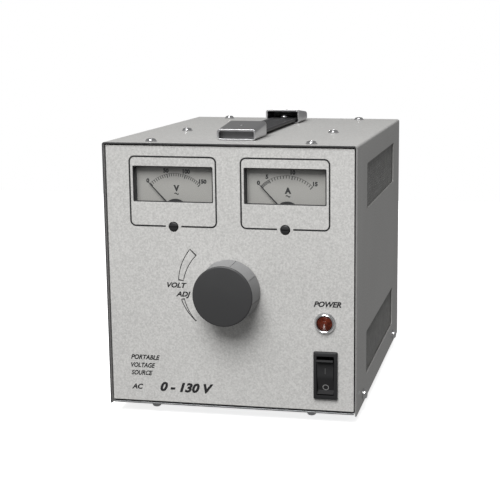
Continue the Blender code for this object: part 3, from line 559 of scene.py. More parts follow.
def add_case(settings):
    cover = build("cover_sheet", (prism, Y, cover_outline(), 0.0, CASE_D))
    front, rear = settings.vent_reach
    tools = []
    for z in settings.vent_middles:
        window = rounded_rectangle(((front + rear) / 2, z), rear - front, settings.vent_height, 0.0015)
        tools.append((prism, X, window, -0.11, 0.11))
    for side in SIDES.values():
        for y in SIDE_SCREWS.values():
            tools.append((prism, X, circle(SCREW_HOLE_R, 16, (y, SIDE_SCREW_Z)), side * 0.096, side * 0.102))
        for y in TOP_SCREWS.values():
            hole = circle(SCREW_HOLE_R, 16, (side * TOP_SCREW_X, y))
            tools.append((prism, Z, hole, CASE_H - 0.004, CASE_H + 0.002))
    cut(cover, *tools)
    soften(cover, 0.00025)
    settle(cover, "paint", stands_for=["case_cover"])
    # The cover's front edge faces get the painted-shade finish for the dark gap round the front panel.
    cover.data.materials.append(FINISHES["edge"])
    for polygon in cover.data.polygons:
        if polygon.normal.y < -0.9 and polygon.center.y < ORIGIN.y + 0.0005:
            polygon.material_index = 1
    for name, finish in (("front_panel", "paint"), ("rear_panel", "paint"), ("base_tray", "zinc"),
                         ("mounting_plate", "zinc")):
        finish_node(name, finish, 0.0002)
    for name in ("front_left", "front_right", "rear_left", "rear_right"):
        add_foot(name)


def add_foot(name):
    """A moulded foot with a rounded edge and a hollow for its screw."""
    low, high, middle = case_box(f"foot_{name}")
    r = (high.x - low.x) / 2
    profile = mm(low.z, (0, 4), (3.0, 4), (3.4, 0.4), (3.9, 0))
    profile += mm(low.z, (-1.8, 0), (-1.1, 0.2), (-0.6, 0.7), (-0.4, 1.4), out=r)
    profile += mm(high.z, (0, -1.6), (0, -0.8), (-0.4, 0), out=r) + [(0, high.z)]
    shape = (lathe, Z, profile, 40, (middle.x, middle.y))
    piece(f"rubber_foot_{name}", "rubber", shape, stands_for=[f"foot_{name}"])


def perforate(bm, span, rise, pitch, radius, faces):
    """A sheet with staggered round holes, in cells twice as long as they are high."""
    rows, columns = int(rise[1] / pitch), int(span[1] / pitch / 2)
    y0, z0 = span[0] - columns * pitch, rise[0] - rows * pitch / 2
    around = [(-1, -1), (0, -1), (1, -1), (1, 0), (1, 1), (0, 1), (-1, 1), (-1, 0)]
    rim = [(a * pitch, b * pitch / 2) for a, b in around]
    reach = [radius / math.hypot(a, b) for a, b in around]
    bore = [(a * r, b * r) for (a, b), r in zip(around, reach)]
    for row in range(rows):
        for column in range(columns - row % 2):
            y, z = y0 + (row % 2 + 2 * column + 1) * pitch, z0 + (row + 0.5) * pitch
            bores = []
            for x in faces:
                outer, inner = ([bm.verts.new((x, y + a, z + b)) for a, b in ring] for ring in (rim, bore))
                join(bm, outer, inner)
                bores.append(inner)
            join(bm, *bores)
    return y0, z0, 2 * columns * pitch, rows * pitch


def add_vents(settings):
    """One perforated sheet on each side, behind both windows."""
    pitch = settings.vent_pitch
    length = settings.vent_reach[1] - settings.vent_reach[0] + 0.006
    for name in SIDES:
        low, high, middle = case_box(f"vent_screen_{name}")
        bm = bmesh.new()
        grids = [
            perforate(bm, (middle.y, length), (z, settings.vent_height + 0.005), pitch,
                      settings.vent_hole, (low.x, high.x))
            for z in settings.vent_middles
        ]
        for corners in plain_strips(low, high, grids, pitch):
            for x in (low.x, high.x):
                bm.faces.new([bm.verts.new(co) for co in flat(X, corners, x)])
        bmesh.ops.remove_doubles(bm, verts=bm.verts, dist=1e-6)
        screen = new_object(f"perforated_screen_{name}", bm)
        settle(screen, "screen", stands_for=[f"vent_screen_{name}"])


def plain_strips(low, high, grids, pitch):
    """The corners of each strip of plain sheet round the perforated fields."""
    strips, level = [], low.z
    for y0, z0, length, height in grids:
        for row in range(1, round(height / pitch), 2):
            for start in (y0, y0 + length - pitch):
                strips.append((start, start + pitch, z0 + row * pitch, z0 + (row + 1) * pitch))
        strips += [(low.y, y0, z0, z0 + height), (y0 + length, high.y, z0, z0 + height)]
        strips.append((low.y, high.y, level, z0))
        level = z0 + height
    strips.append((low.y, high.y, level, high.z))
    return [[(y0, z0), (y1, z0), (y1, z1), (y0, z1)] for y0, y1, z0, z1 in strips]


# ---------------------------------------------------------------- screws

def screw_mesh(head_r, head_h, washer_r, shank):
    """A pan head screw with a cross recess, pointing along Z, with its seat at zero."""
    washer = 0.0008 if washer_r else 0.0
    profile = mm(-shank, (0, 0), (1.4, 0), (1.9, 0.6)) + [(0.0019, 0)]
    if washer_r:
        profile += mm(0, (-0.2, 0), (0, 0.2), out=washer_r) + mm(washer, (0, -0.3), (-0.3, 0), out=washer_r)
        profile.append((head_r + 0.0001, washer))
    profile.append((head_r, washer + 0.00005))
    for across, up in ((1, 0.42), (0.94, 0.62), (0.78, 0.82), (0.52, 0.95), (0, 1)):
        profile.append((head_r * across, washer + head_h * up))
    obj = build("screw", (lathe, Z, profile, 40))
    top, arm, half = washer + head_h + 0.0002, 0.0021, 0.00038
    cross = []
    for angle in (0, 90, 180, 270):
        cross += leaning(angle, (0, 0), ((arm, -half), (arm, half), (half, half)))
    ends = [[(x * taper, y * taper, z) for x, y in cross] for z, taper in ((top, 1.0), (top - 0.0016, 0.6))]
    cut(obj, (loft, ends))
    mesh = obj.data
    bpy.data.objects.remove(obj, do_unlink=True)
    mesh.transform(Matrix.Translation(-ORIGIN))
    return mesh


def set_screw(name, mesh, place, aim, turn, finish="bright", stands_for=()):
    """Puts a copy of the screw's mesh on the case, with its head the way it aims."""
    obj = bpy.data.objects.new(name, mesh.copy())
    bpy.context.collection.objects.link(obj)
    spin = Vector(aim).to_track_quat("Z", "Y").to_matrix().to_4x4() @ Matrix.Rotation(turn, 4, "Z")
    obj.data.transform(Matrix.Translation(on_case(*place)) @ spin)
    settle(obj, finish, stands_for=stands_for)


def add_screws(_settings):
    pan = screw_mesh(0.0038, 0.0017, 0.0045, 0.006)
    tall = screw_mesh(0.0038, 0.0026, 0.0045, 0.006)
    plain = screw_mesh(0.0036, 0.0034, 0.0, 0.004)
    turn = 0.3
    for name, side in SIDES.items():
        for end, y in TOP_SCREWS.items():
            turn += 1.1
            place = (side * TOP_SCREW_X, y, CASE_H + 0.0001)
            stands_for = [f"top_screw_{end}_{name}"]
            set_screw(f"lid_screw_{end}_{name}", pan, place, (0, 0, 1), turn, stands_for=stands_for)
        for end, y in SIDE_SCREWS.items():
            turn += 1.3
            place = (side * (CASE_W / 2 + 0.0001), y, SIDE_SCREW_Z)
            stands_for = [f"side_screw_{end}_{name}"]
            set_screw(f"flank_screw_{end}_{name}", tall, place, (side, 0, 0), turn, stands_for=stands_for)
        turn += 0.9
        place = (side * 0.0634, 0.0070, 0.0005)
        set_screw(f"lip_screw_{name}", plain, place, (0, 0, -1), turn, "zinc")
    middle = case_box("earth_screw")[2]
    place = (middle.x, REAR_FACE + 0.0001, middle.z)
    set_screw("earth_stud_screw", pan, place, (0, 1, 0), 0.7, "bronze", ["earth_screw"])
    for end in ("front", "rear"):
        _low, high, middle = case_box(f"strap_screw_{end}")
        head = screw_mesh(0.0038, 0.0022, 0.0, 0.011)
        place = (0, middle.y, high.z - 0.0026)
        set_screw(f"handle_screw_{end}", head, place, (0, 0, 1), turn, stands_for=[f"strap_screw_{end}"])


# ---------------------------------------------------------------- handle

def cap_loop(y, low, high, half_w, corner):
    """A round-cornered loop at y, between two heights over the case."""
    low, high = CASE_H + low, CASE_H + high
    return flat(Y, rounded_rectangle((0, (low + high) / 2), 2 * half_w, high - low, corner, 6), y)


def add_cap(name, reach, heights, plug_y):
    """An end cap, which is a tube that rises towards the strap, with its plug and stud."""
    half_w, wall, base, floor = 0.0156, 0.0016, 0.0003, 0.0013
    outer = [cap_loop(y, base, height, half_w, 0.0026) for y, height in zip(reach, heights)]
    inner = [cap_loop(y, floor, height - wall, half_w - wall, 0.0012) for y, height in zip(reach, heights)]
    cap = build(f"grip_cap_{name}", (loft, outer + inner[::-1], True))
    screw_y = CAP_SCREW_Y if name == "front" else CASE_D - CAP_SCREW_Y
    cut(cap, (prism, Z, circle(CAP_SCREW_HOLE_R, 24, (0, screw_y)), CASE_H, CASE_H + 0.0018))
    soften(cap, 0.00035, 3)
    settle(cap, "cap_plate", stands_for=[f"handle_cap_{name}"])
    rise = (heights[1] - heights[0]) / (reach[1] - reach[0])
    gap = 0.00005
    loops = []
    for y in (plug_y, plug_y + 0.0015):
        top = heights[0] + rise * (y - reach[0]) - wall - gap
        loops.append(cap_loop(y, floor + gap, top, half_w - wall - gap, 0.0012))
    piece(f"cap_end_plug_{name}", "plug", (loft, loops))
    stud = mm(0, (0, -0.6), (1.9, -0.6), (1.9, 0.1), (1.6, 0.45), (0.9, 0.7), (0, 0.8))
    middle = Matrix.Translation((0, sum(reach) / 2, CASE_H + sum(heights) / 2))
    turned = middle @ Matrix.Rotation(math.atan(rise), 4, "X")
    piece(f"cap_stud_{name}", "bright", (lathe, Z, stud, 24), turned=turned)


def strap_section(ribs):
    """The strap's section: round edges, a raised border and fine ribs along its top."""
    half_w, half_t, round_r, border = 0.0125, 0.0015, 0.0012, 0.0085
    side, level, pitch = half_w - round_r, half_t - round_r, 2 * border / ribs
    outline = arc((side, level), round_r, 0, 90, 4)
    outline += [(side - 0.0009, half_t - 0.0001), (border + 0.0002, half_t - 0.0006)]
    for i in range(ribs):
        middle = border - (i + 0.5) * pitch
        for offset, drop in ((0.45, 0.0006), (0.22, 0.0002), (0.0, 0.00005), (-0.22, 0.0002), (-0.45, 0.0006)):
            outline.append((middle + offset * pitch, half_t - drop))
    outline += [(-border - 0.0002, half_t - 0.0006), (-side + 0.0009, half_t - 0.0001)]
    outline += arc((-side, level), round_r, 90, 180, 4)
    outline += arc((-side, -level), round_r, 180, 270, 4)
    return outline + arc((side, -level), round_r, 270, 360, 4)


def add_strap(settings):
    """The strap in four lengths, each with closely spaced sections round one hinge."""
    hinges = (0.068, 0.106, CASE_D - 0.106, CASE_D - 0.068)
    ends = (0.038, 0.087, CASE_D / 2, CASE_D - 0.087, CASE_D - 0.038)
    nodes = (["strap_front_end", "strap_rise"], ["strap_middle"], ["strap_fall"], ["strap_rear_end"])
    slot = rounded_rectangle((0, CASE_D - CAP_SCREW_Y + 0.0025), 0.0052, 0.0102, CAP_SCREW_HOLE_R, 6)
    holes = {0: circle(CAP_SCREW_HOLE_R, 24, (0, CAP_SCREW_Y)), 3: list(dict.fromkeys(slot))}
    outline, bend = [(x, STRAP_Z + z) for x, z in strap_section(settings.ribs)], 0.009
    for i, name in enumerate(("front", "rising", "falling", "rear")):
        stations = [ends[i]] + [hinges[i] - bend + 2 * bend * k / 12 for k in range(13)] + [ends[i + 1]]
        stations = sorted(stations + {0: [0.05], 3: [CASE_D - 0.05]}.get(i, []))
        strap = build(f"strap_{name}_length", (loft, [flat(Y, outline, y) for y in stations]))
        if i in holes:
            cut(strap, (prism, Z, holes[i], STRAP_Z - 0.004, STRAP_Z + 0.004))
        strap.data.materials.clear()
        strap.data.materials.append(FINISHES["vinyl"])
        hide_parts(*nodes[i])
        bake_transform(strap)


def add_handle(settings):
    add_cap("front", (0.028, 0.066), (0.0088, 0.0125), 0.035)
    add_cap("rear", (CASE_D - 0.066, CASE_D - 0.028), (0.0125, 0.0088), CASE_D - 0.0365)
    add_strap(settings)


# ---------------------------------------------------------------- print

def stroke(bm, path, width, face, is_closed=False, proud=INK_DEPTH):
    """A printed line of even width along a path of (x, z) on a face that looks along -Y."""
    count = len(path)
    left, right = [], []
    for i, (x, z) in enumerate(path):
        before = path[i - 1] if i or is_closed else path[0]
        after = path[(i + 1) % count] if i + 1 < count or is_closed else path[-1]
        along = Vector((after[0] - before[0], after[1] - before[1])).normalized()
        step = Vector((x - before[0], z - before[1]))
        lean = 1.0
        if step.length > 1e-9 and (after[0] - x or after[1] - z):
            lean = max(0.5, abs(step.normalized().dot(along)))
        across = Vector((-along.y, along.x)) * (width / 2 / lean)
        left.append((x + across.x, z + across.y))
        right.append((x - across.x, z - across.y))
    edges = [[bm.verts.new(co) for co in flat(Y, side, face + y)]
             for side, y in ((left, -proud), (right, -proud), (right, proud), (left, proud))]
    for near, far in zip(edges, edges[1:] + edges[:1]):
        for i in range(count if is_closed else count - 1):
            j = (i + 1) % count
            bm.faces.new((near[i], near[j], far[j], far[i]))
    if not is_closed:
        for i in (0, -1):
            bm.faces.new([edge[i] for edge in edges])


def lettering(bm, words, height, place, face, lean=0.0, length=None, weight=0.0, proud=INK_DEPTH):
    """Printed letters on a face that looks along -Y, with their capitals as tall as height."""
    curve = bpy.data.curves.new("letters", "FONT")
    curve.body = words
    curve.size = height / 0.70
    curve.shear = lean
    curve.offset = weight
    curve.extrude = proud
    curve.resolution_u = 3
    obj = bpy.data.objects.new("letters", curve)
    bpy.context.collection.objects.link(obj)
    bpy.context.view_layer.update()
    mesh = bpy.data.meshes.new_from_object(obj.evaluated_get(bpy.context.evaluated_depsgraph_get()))
    bpy.data.objects.remove(obj, do_unlink=True)
    spots = [vertex.co.x for vertex in mesh.vertices]
    left, right = min(spots), max(spots)
    width = length / (right - left) if length else 1.0
    stand = Matrix.Translation((place[0], face, place[1] - height / 2)) @ Matrix.Rotation(math.pi / 2, 4, "X")
    centred = Matrix.Diagonal((width, 1.0, 1.0, 1.0)) @ Matrix.Translation((-(left + right) / 2, 0, 0))
    mesh.transform(stand @ centred)
    bm.from_mesh(mesh)
    bpy.data.meshes.remove(mesh)


WORDS = (  # words, height, middle, length and weight
    ("VOLT", 0.0038, (-0.0426, 0.0988), 0.0160, 0.00020),
    ("ADJ", 0.0038, (-0.0377, 0.0918), 0.0120, 0.00020),
    ("POWER", 0.0041, (0.0770, 0.0881), 0.0215, 0.00022),
    ("PORTABLE", 0.0036, (-0.0702, 0.0391), 0.0240, 0.00018),
    ("VOLTAGE", 0.0036, (-0.0722, 0.0325), 0.0200, 0.00018),
    ("SOURCE", 0.0036, (-0.0734, 0.0262), 0.0176, 0.00018),
    ("AC", 0.0040, (-0.0774, 0.0147), 0.0096, 0.00020),
    ("0 - 130 V", 0.0070, (-0.0365, 0.0156), 0.0440, 0.00048),
)


def band_outline(start, end):
    """The widening band round the knob: its inner edge is round and its outer edge spirals out."""
    inner, growth, zero, steps = 0.0377, 0.0068 / 89.0, 224.0, 18
    angles = [start + (end - start) * i / steps for i in range(steps + 1)]
    edges = [(inner + growth * (zero - t), t) for t in angles] + [(inner, t) for t in reversed(angles)]
    return [polar(r, t, (0, SHAFT_Z)) for r, t in edges]


def add_print(settings):
    """The panel's printed frames, band and plain words."""
    shapes = []
    middle_z, half_w, half_h, corner, gap = 0.1723, 0.0344, 0.0270, 0.0040, 0.0063
    for _name, x, *_dial in METERS:
        path = [(x - gap, middle_z - half_h)]
        for sx, sz, start in ((-1, -1, 270), (-1, 1, 180), (1, 1, 90), (1, -1, 0)):
            centre = (x + sx * (half_w - corner), middle_z + sz * (half_h - corner))
            path += arc(centre, corner, start, start - 90, 6)
        shapes.append((stroke, path + [(x + gap, middle_z - half_h)], settings.line * 2.1, PANEL_FACE))
    for start, end in ((135.0, 170.5), (192.6, 223.0)):
        shapes.append((stroke, band_outline(start, end), settings.line, PANEL_FACE, True))
    for words, height, place, length, weight in WORDS:
        shapes.append((lettering, words, height, place, PANEL_FACE, 0.3, length, weight))
    piece("panel_print", "ink", *shapes)


# ---------------------------------------------------------------- knob

def knob_ring(radius, y, dip, step=0.0):
    """A ring of the knob's skirt at y: convex panels that dip below the radius at their middles."""
    steps = 18
    ring = []
    for i in range(KNOB_PANELS * steps):
        across = (i % steps) * 2 / steps - 1
        r = radius - step - dip * (1 - across * across)
        ring.append(polar(r, FIRST_GROOVE + 360 * i / (KNOB_PANELS * steps), (0, SHAFT_Z)))
    return flat(Y, ring, y)


def add_knob(settings):
    """The control knob: a skirt with shallow panels, and a dark disc let into its front."""
    dip = settings.panel_dip
    low, high, _middle = case_box("knob")
    face, back, disc = low.y, high.y, low.y + 0.0011
    face_r, base_r, bore_r, lip = 0.0236, 0.0245, 0.0043, disc + settings.lip
    loops = [knob_ring(face_r - 0.0006, disc, 0), knob_ring(face_r, disc + 0.00005, 0)]
    loops += [knob_ring(face_r, lip - 0.0003, 0), knob_ring(face_r - 0.0001, lip, 0)]
    loops.append(knob_ring(face_r, lip + 0.0001, dip, 0.00025))
    for share in (0.5, 1.0):
        r, y = face_r + (base_r - face_r) * share, lip + (back - 0.0006 - lip) * share
        loops.append(knob_ring(r, y, dip * (1 - 0.72 * share), 0.00025 * (1 - share)))
    loops.append(knob_ring(base_r - 0.0005, back, dip * 0.28))
    loops += [knob_ring(bore_r, y, 0) for y in (back, -0.0145)]
    grooves, half = [], 0.00028
    for i in range(KNOB_PANELS):
        angle = FIRST_GROOVE + 360 / KNOB_PANELS * i
        ends = []
        for y, floor in ((lip, face_r - 0.00055), (back + 0.001, base_r - 0.0004)):
            corners = ((floor, -half), (floor, half), (0.027, half), (0.027, -half))
            ends.append(flat(Y, leaning(angle, (0, SHAFT_Z), corners), y))
        grooves.append((loft, ends))
    piece("control_knob", "skirt", (loft, loops), cuts=grooves, body="knob_and_shaft", stands_for=["knob"])
    profile = [(0, face)]
    profile += mm(face, (-1.2, 0), (-0.7, 0.1), (-0.2, 0.4), (0, 0.8), (0, 1.1), out=face_r - 0.0001)
    front = (lathe, Y, profile + [(0, disc)], 144, (0, SHAFT_Z))
    piece("knob_face_disc", "knob", front, body="knob_and_shaft")
    screw = (prism, Z, circle(0.0016, 16, (0, -0.0065)), SHAFT_Z - 0.0238, SHAFT_Z - 0.0180)
    piece("knob_set_screw", "steel", screw, body="knob_and_shaft")
    finish_node("shaft", "steel")
    finish_node("shaft_bush", "bronze", 0.0002)


# ---------------------------------------------------------------- meters

METERS = (  # name, middle, unit, and each number with its share of the scale
    ("volt", -0.04425, "V", (("0", 0.0), ("50", 0.35), ("100", 0.69), ("150", 1.0))),
    ("amp", 0.04425, "A", (("0", 0.0), ("5", 0.17), ("10", 0.60), ("15", 1.0))),
)


def print_dial(name, x, unit, numbers):
    """A dial's ticks, its numbers, its unit and the sign for alternating current."""
    face, arc_r, minor, middle = DIAL_FACE - 0.00002, 0.0293, 8, x + 0.0009

    def spot(radius, share):
        return polar(radius, SCALE_ZERO - SCALE_SWEEP * share, (x, PIVOT_Z))

    def line(path, width):
        return stroke, path, width, face, False, DIAL_INK_DEPTH

    def letters(words, height, place, weight):
        return lettering, words, height, place, face, 0.0, None, weight, DIAL_INK_DEPTH

    shares = [share for _number, share in numbers]
    ticks = [near + (far - near) * i / minor for near, far in zip(shares, shares[1:]) for i in range(minor)]
    shapes = []
    for share in ticks + [1.0]:
        inner, width = (0.0264, 0.00070) if share in shares else (0.0270, 0.00052)
        shapes.append(line([spot(inner, share), spot(arc_r, share)], width))
    shapes.append(line([spot(arc_r, i / 32) for i in range(33)], 0.00022))
    shapes += [letters(number, 0.0030, spot(0.0322, share), 0.00026) for number, share in numbers]
    shapes.append(letters(unit, 0.0042, (middle, 0.1743), 0.00040))
    wave = [(middle - 0.0017 + 0.0034 * i / 16, 0.1699 + 0.0005 * math.sin(math.pi * i / 8)) for i in range(17)]
    shapes.append(line(wave, 0.00075))
    piece(f"{name}_dial_print", "ink", *shapes, slot="dial_white")


def add_meter(name, x, unit, numbers):
    """One meter: its printed dial, window, pointer with its shield, and zero screw."""
    finish_node(f"{name}_meter_case", "black", 0.0003)
    finish_node(f"{name}_meter_dial", "card", 0.0001)
    finish_node(f"{name}_meter_window", "window")
    print_dial(name, x, unit, numbers)
    outer, inner = (rounded_rectangle((x, 0.1780), 0.0639 - cut_in, 0.0279 - cut_in, 0.0007, 3)
                    for cut_in in (0, 0.0014))
    stations = ((outer, 0.0017), (inner, 0.0019), (inner, 0.0031), (outer, 0.0031))
    piece(f"{name}_window_rim", "black", (loft, [flat(Y, edge, y) for edge, y in stations], True))

    shield_r, low_z, half_w = 0.0104, 0.1412, 0.0070
    outline = arc((x + 0.0010, 0.1560), shield_r, 0, 180, 28)
    outline += [(outline[-1][0], 0.1425), (x - half_w, low_z), (x + half_w, low_z), (outline[0][0], 0.1425)]
    hole = (prism, Y, circle(SCREW_HOLE_R, 24, (x, ZERO_SCREW_Z)), 0.0040, 0.0065)
    piece(f"{name}_pivot_shield", "black", (prism, Y, outline, 0.0049, 0.0055), cuts=[hole], edge=0.00015)

    side = mm(0, (30.4, -0.28), (0, -0.6), (-7, -0.8), (-8.8, -1.2))
    blade = leaning(SCALE_ZERO, (x, PIVOT_Z), side + [(r, -s) for r, s in reversed(side)])
    pointer = build(f"{name}_needle", (prism, Y, blade, 0.00645, 0.00685))
    hub = mm(0, (0, 6), (1, 6), (1.2, 6.2), (2.7, 6.3), (2.8, 6.5), (2.8, 7.2), (1.6, 7.4), (1.6, 11), (0, 11))
    cut(pointer, (lathe, Y, hub, 32, (x, PIVOT_Z)), operation="UNION")
    settle(pointer, "ink", f"{name}_pointer", [f"{name}_pointer"], "pointer_paint")

    low, _high, middle = case_box(f"{name}_zero_screw")
    front, z = low.y, middle.z
    profile = [(0, front)] + mm(front, (2.8, 0), (3.3, 0.2), (3.6, 0.6))
    profile += mm(0, (3.6, 3.2), (1.5, 3.2), (1.5, 7.6), (0, 7.6))
    slit = (box, (x - 0.005, front - 0.001, z - 0.0004), (x + 0.005, front + 0.0009, z + 0.0004))
    body = f"{name}_zero_screw"
    piece(f"{name}_zero_head", "black", (lathe, Y, profile, 40, (x, z)),
          cuts=[slit], body=body, stands_for=[body])


def add_meters(_settings):
    for meter in METERS:
        add_meter(*meter)


# ---------------------------------------------------------------- lamp and switch

def add_lamp(_settings):
    face = PANEL_FACE
    bezel = mm(face, (6.0, -2.2), (6.3, -2.8), (6.7, -3.0), (7.1, -2.8), (7.5, -2.2), (7.8, -1.6), (8.2, -1.3))
    bezel += mm(face, (8.4, -1.0), (8.4, -0.2), (5.2, -0.2))
    bezel += mm(0, (5.2, 23.5), (0, 23.5), (0, 6.2), (4.2, 6.2))
    bezel += mm(face, (4.2, 0.6), (6.0, -0.8))
    piece("lamp_ring", "bright", (lathe, Y, bezel, 96, LAMP), stands_for=["pilot_lamp_bezel"])
    ridges = 12
    dome = [(0, face - 0.0033)]
    for i in range(1, ridges):
        level = face - 0.0033 + 0.0019 * (i / ridges) ** 2
        dome += mm(level, (-0.12, 0.14), (0.12, -0.04), out=0.0056 * i / ridges)
    dome += mm(face, (5.7, -1.3), (5.7, -1.0), (3.8, 0.4)) + mm(0, (3.8, 5.5), (0, 5.5))
    piece("lamp_lens", "lens", (lathe, Y, dome, 64, LAMP), stands_for=["pilot_lamp_lens"])


def add_switch(_settings):
    """The rocker switch: a raised rim round a rocker that leans on its pressed side."""
    face = PANEL_FACE
    loops = []
    for y, inset, corner in ((-0.0002, 0.0, 0.0010), (-0.0016, 0.0, 0.0010), (-0.0024, 0.0004, 0.0009),
                             (-0.0027, 0.0011, 0.0007)):
        outline = rounded_rectangle(SWITCH, 0.0189 - 2 * inset, 0.0380 - 2 * inset, corner)
        loops.append(flat(Y, outline, face + y))
    housing = build("switch_frame", (loft, loops))
    body = rounded_rectangle(SWITCH, 0.0156, 0.0336, 0.0006, 2)
    cut(housing, (prism, Y, body, face - 0.001, 0.030), operation="UNION")
    cut(housing, (prism, Y, rounded_rectangle(SWITCH, 0.0137, 0.0312, 0.0005, 2), -0.004, 0.013))
    soften(housing, 0.0002)
    settle(housing, "black", stands_for=["switch_housing"])

    pivot_y, end_r, half_w = face + 0.0034, 0.0157, 0.00645
    edge = 90 + math.degrees(math.asin((ROCKER_DISH - ROCKER_FRONT) / end_r))
    end = arc((0, 0), end_r, edge, edge - 8, 4)
    half = [(ROCKER_FRONT + ROCKER_DISH * (i / 8) ** 0.9, end[0][1] * i / 8) for i in range(1, 8)]
    half += end + [(-0.0020, 0.0125), (0.0025, 0.0050)]
    profile = [(ROCKER_FRONT, 0.0)] + half + [(y, -z) for y, z in reversed(half)]
    tilted = leaning(math.degrees(ROCKER_TILT), (pivot_y, SWITCH[1]), profile)
    rocker = build("rocker_paddle", (prism, X, tilted, SWITCH[0] - half_w, SWITCH[0] + half_w))
    soften(rocker, 0.0004, 3, 25)
    settle(rocker, "rocker", "rocker", ["rocker"])

    on_mark = (box, (-0.00035, -0.0001, -0.0024), (0.00035, 0.0001, 0.0024))
    edges = ((0.0025, -0.0001), (0.0019, -0.0001), (0.0019, 0.0001), (0.0025, 0.0001))
    off_mark = (loft, [flat(Y, circle(r, 36), y) for r, y in edges], True)
    spin = Matrix.Translation((SWITCH[0], pivot_y, SWITCH[1])) @ Matrix.Rotation(ROCKER_TILT, 4, "X")
    lean = math.atan2(ROCKER_DISH, ROCKER_REACH)
    # The 'I' mark takes the darkened ink as painted shade on the raised half; the 'O' mark takes the white ink.
    for name, side, middle, ink, shape in (("on", 1, 0.0048, "faint", on_mark),
                                           ("off", -1, 0.0092, "mark", off_mark)):
        face_y = ROCKER_FRONT + ROCKER_DISH * (middle / ROCKER_REACH) ** 0.9 - 0.00004
        place = Matrix.Translation((0, face_y, side * middle)) @ Matrix.Rotation(-side * lean, 4, "X")
        piece(f"rocker_{name}_mark", ink, shape, turned=spin @ place, body="rocker")


# ---------------------------------------------------------------- rear and inside

def add_rear(settings):
    face = REAR_FACE
    finish_node("mains_inlet", "black", 0.0003)
    finish_node("output_socket", "black", 0.0003)
    middle = case_box("circuit_breaker")[2]
    centre = (middle.x, middle.z)
    collar = mm(face, (3.5, 3.8), (4.2, 4.0), (5.5, 4.0), (5.5, 2.8))
    collar += mm(face, (6.0, 2.6), (8.6, 2.6), (8.8, 2.3), (8.8, 0.3))
    collar += mm(face, (5.6, 0.3), (5.6, -10), (11, -10), (11, -30), (0, -30), (0, -12), (3.5, -12))
    grips = [(prism, Y, circle(0.0011, 12, spot), face, face + 0.004) for spot in circle(0.0093, 12, centre)]
    piece("breaker_collar", "black", (lathe, Y, collar, 64, centre), cuts=grips, stands_for=["circuit_breaker"])
    low, high, _middle = case_box("breaker_button")
    stem = mm(high.y, (0, -0.4), (1.2, -0.3), (2.0, 0), (2.6, -0.2), (3.0, -0.7), (3.1, -1.3))
    shape = (lathe, Y, stem + mm(low.y, (3.1, 0), (0, 0)), 48, centre)
    piece("reset_stem", "button", shape, body="reset_button", stands_for=["breaker_button"])

    # The print is laid out for a face that looks along -Y, and then turned to be read from behind.
    shapes = []
    for words, node, z in (("INPUT", "mains_inlet", 0.0235), ("OUTPUT", "output_socket", 0.0190),
                           ("RESET", "circuit_breaker", 0.0290)):
        shapes.append((lettering, words, 0.0034, (-case_box(node)[2].x, z), -face, 0.0, None, 0.00012))
    x, z = -case_box("earth_screw")[2].x, 0.0885
    shapes.append((stroke, [(x, z + 0.0036), (x, z)], settings.line, -face))
    for half, drop in ((0.0026, 0.0), (0.0017, 0.0010), (0.0008, 0.0020)):
        shapes.append((stroke, [(x - half, z - drop), (x + half, z - drop)], settings.line, -face))
    piece("rear_print", "ink", *shapes, turned=Matrix.Rotation(math.pi, 4, "Z"))


def add_transformer(_settings):
    for name, finish, edge in (
        ("transformer_base", "cast", 0.0004), ("core", "core", 0.0003), ("winding", "winding", 0.001),
        ("brush_arm", "cast", 0.0003), ("brush_holder", "bronze", 0.0002), ("brush", "carbon", 0.0002),
        ("brush_spring", "steel", 0.0), ("terminal_board", "board", 0.0002),
    ):
        finish_node(name, finish, edge)


# ---------------------------------------------------------------- stage

def add_stage(settings):
    """The floor, the lights and the camera."""
    scene = bpy.context.scene
    scene.view_settings.view_transform = "Standard"
    half = 1.1
    slab = (box, (-half, -half, -0.02), (half, half, 0.0))
    floor = build("studio_floor", slab, turned=Matrix.Translation(-ORIGIN))
    shade = Finish("studio_floor", (0.86, 0.86, 0.86), 0.7, Emission_Color=WHITE,
                   Emission_Strength=settings.floor_glow)
    shade.set("Roughness", 0.65 + shade.noise(3.0) * 0.1)
    floor.data.materials.append(shade.material)
    floor.visible_diffuse = False
    floor.visible_glossy = False

    world = bpy.data.worlds.new("studio")
    world.use_nodes = True
    tree = world.node_tree
    around, backdrop = tree.nodes["Background"], tree.nodes.new("ShaderNodeBackground")
    around.inputs["Strength"].default_value = settings.ambient
    for light in (around, backdrop):
        light.inputs["Color"].default_value = WHITE
    mix = tree.nodes.new("ShaderNodeMixShader")
    tree.links.new(tree.nodes.new("ShaderNodeLightPath").outputs["Is Camera Ray"], mix.inputs[0])
    tree.links.new(around.outputs[0], mix.inputs[1])
    tree.links.new(backdrop.outputs[0], mix.inputs[2])
    tree.links.new(mix.outputs[0], tree.nodes["World Output"].inputs["Surface"])
    scene.world = world

    for name, place, size, power in (("key", (-0.15, -1.70, 1.90), 1.50, settings.key),
                                     ("rear_fill", (-0.40, 2.30, 0.10), 0.2, settings.fill)):
        lamp = bpy.data.lights.new(name, "AREA")
        lamp.size = size
        lamp.energy = power
        aim = Vector((0.0, 0.0, 0.12)) - Vector(place)
        stand(name, lamp, place, aim.to_track_quat("-Z", "Y").to_euler())

    camera = bpy.data.cameras.new("camera")
    camera.lens = settings.focal
    camera.shift_x = -0.1343
    camera.shift_y = 0.0030
    turn = [math.radians(angle) for angle in (79.306, 0.112, 10.572)]
    scene.camera = stand("camera", camera, on_case(0.23316, -0.87612, 0.29774), turn)


def stand(name, data, place, turn):
    """Puts a light or a camera in the scene."""
    obj = bpy.data.objects.new(name, data)
    obj.location = place
    obj.rotation_euler = turn
    bpy.context.collection.objects.link(obj)
    return obj


# ---------------------------------------------------------------- add-on

LENGTH = {"subtype": "DISTANCE", "unit": "LENGTH"}
COLOUR = {"subtype": "COLOR", "min": 0, "max": 1}


def run(add, context):
    """Adds an operator's pieces, with the scene's settings."""
    settings = context.scene.autotransformer
    make_finishes(settings)
    add(settings)
    return {"FINISHED"}


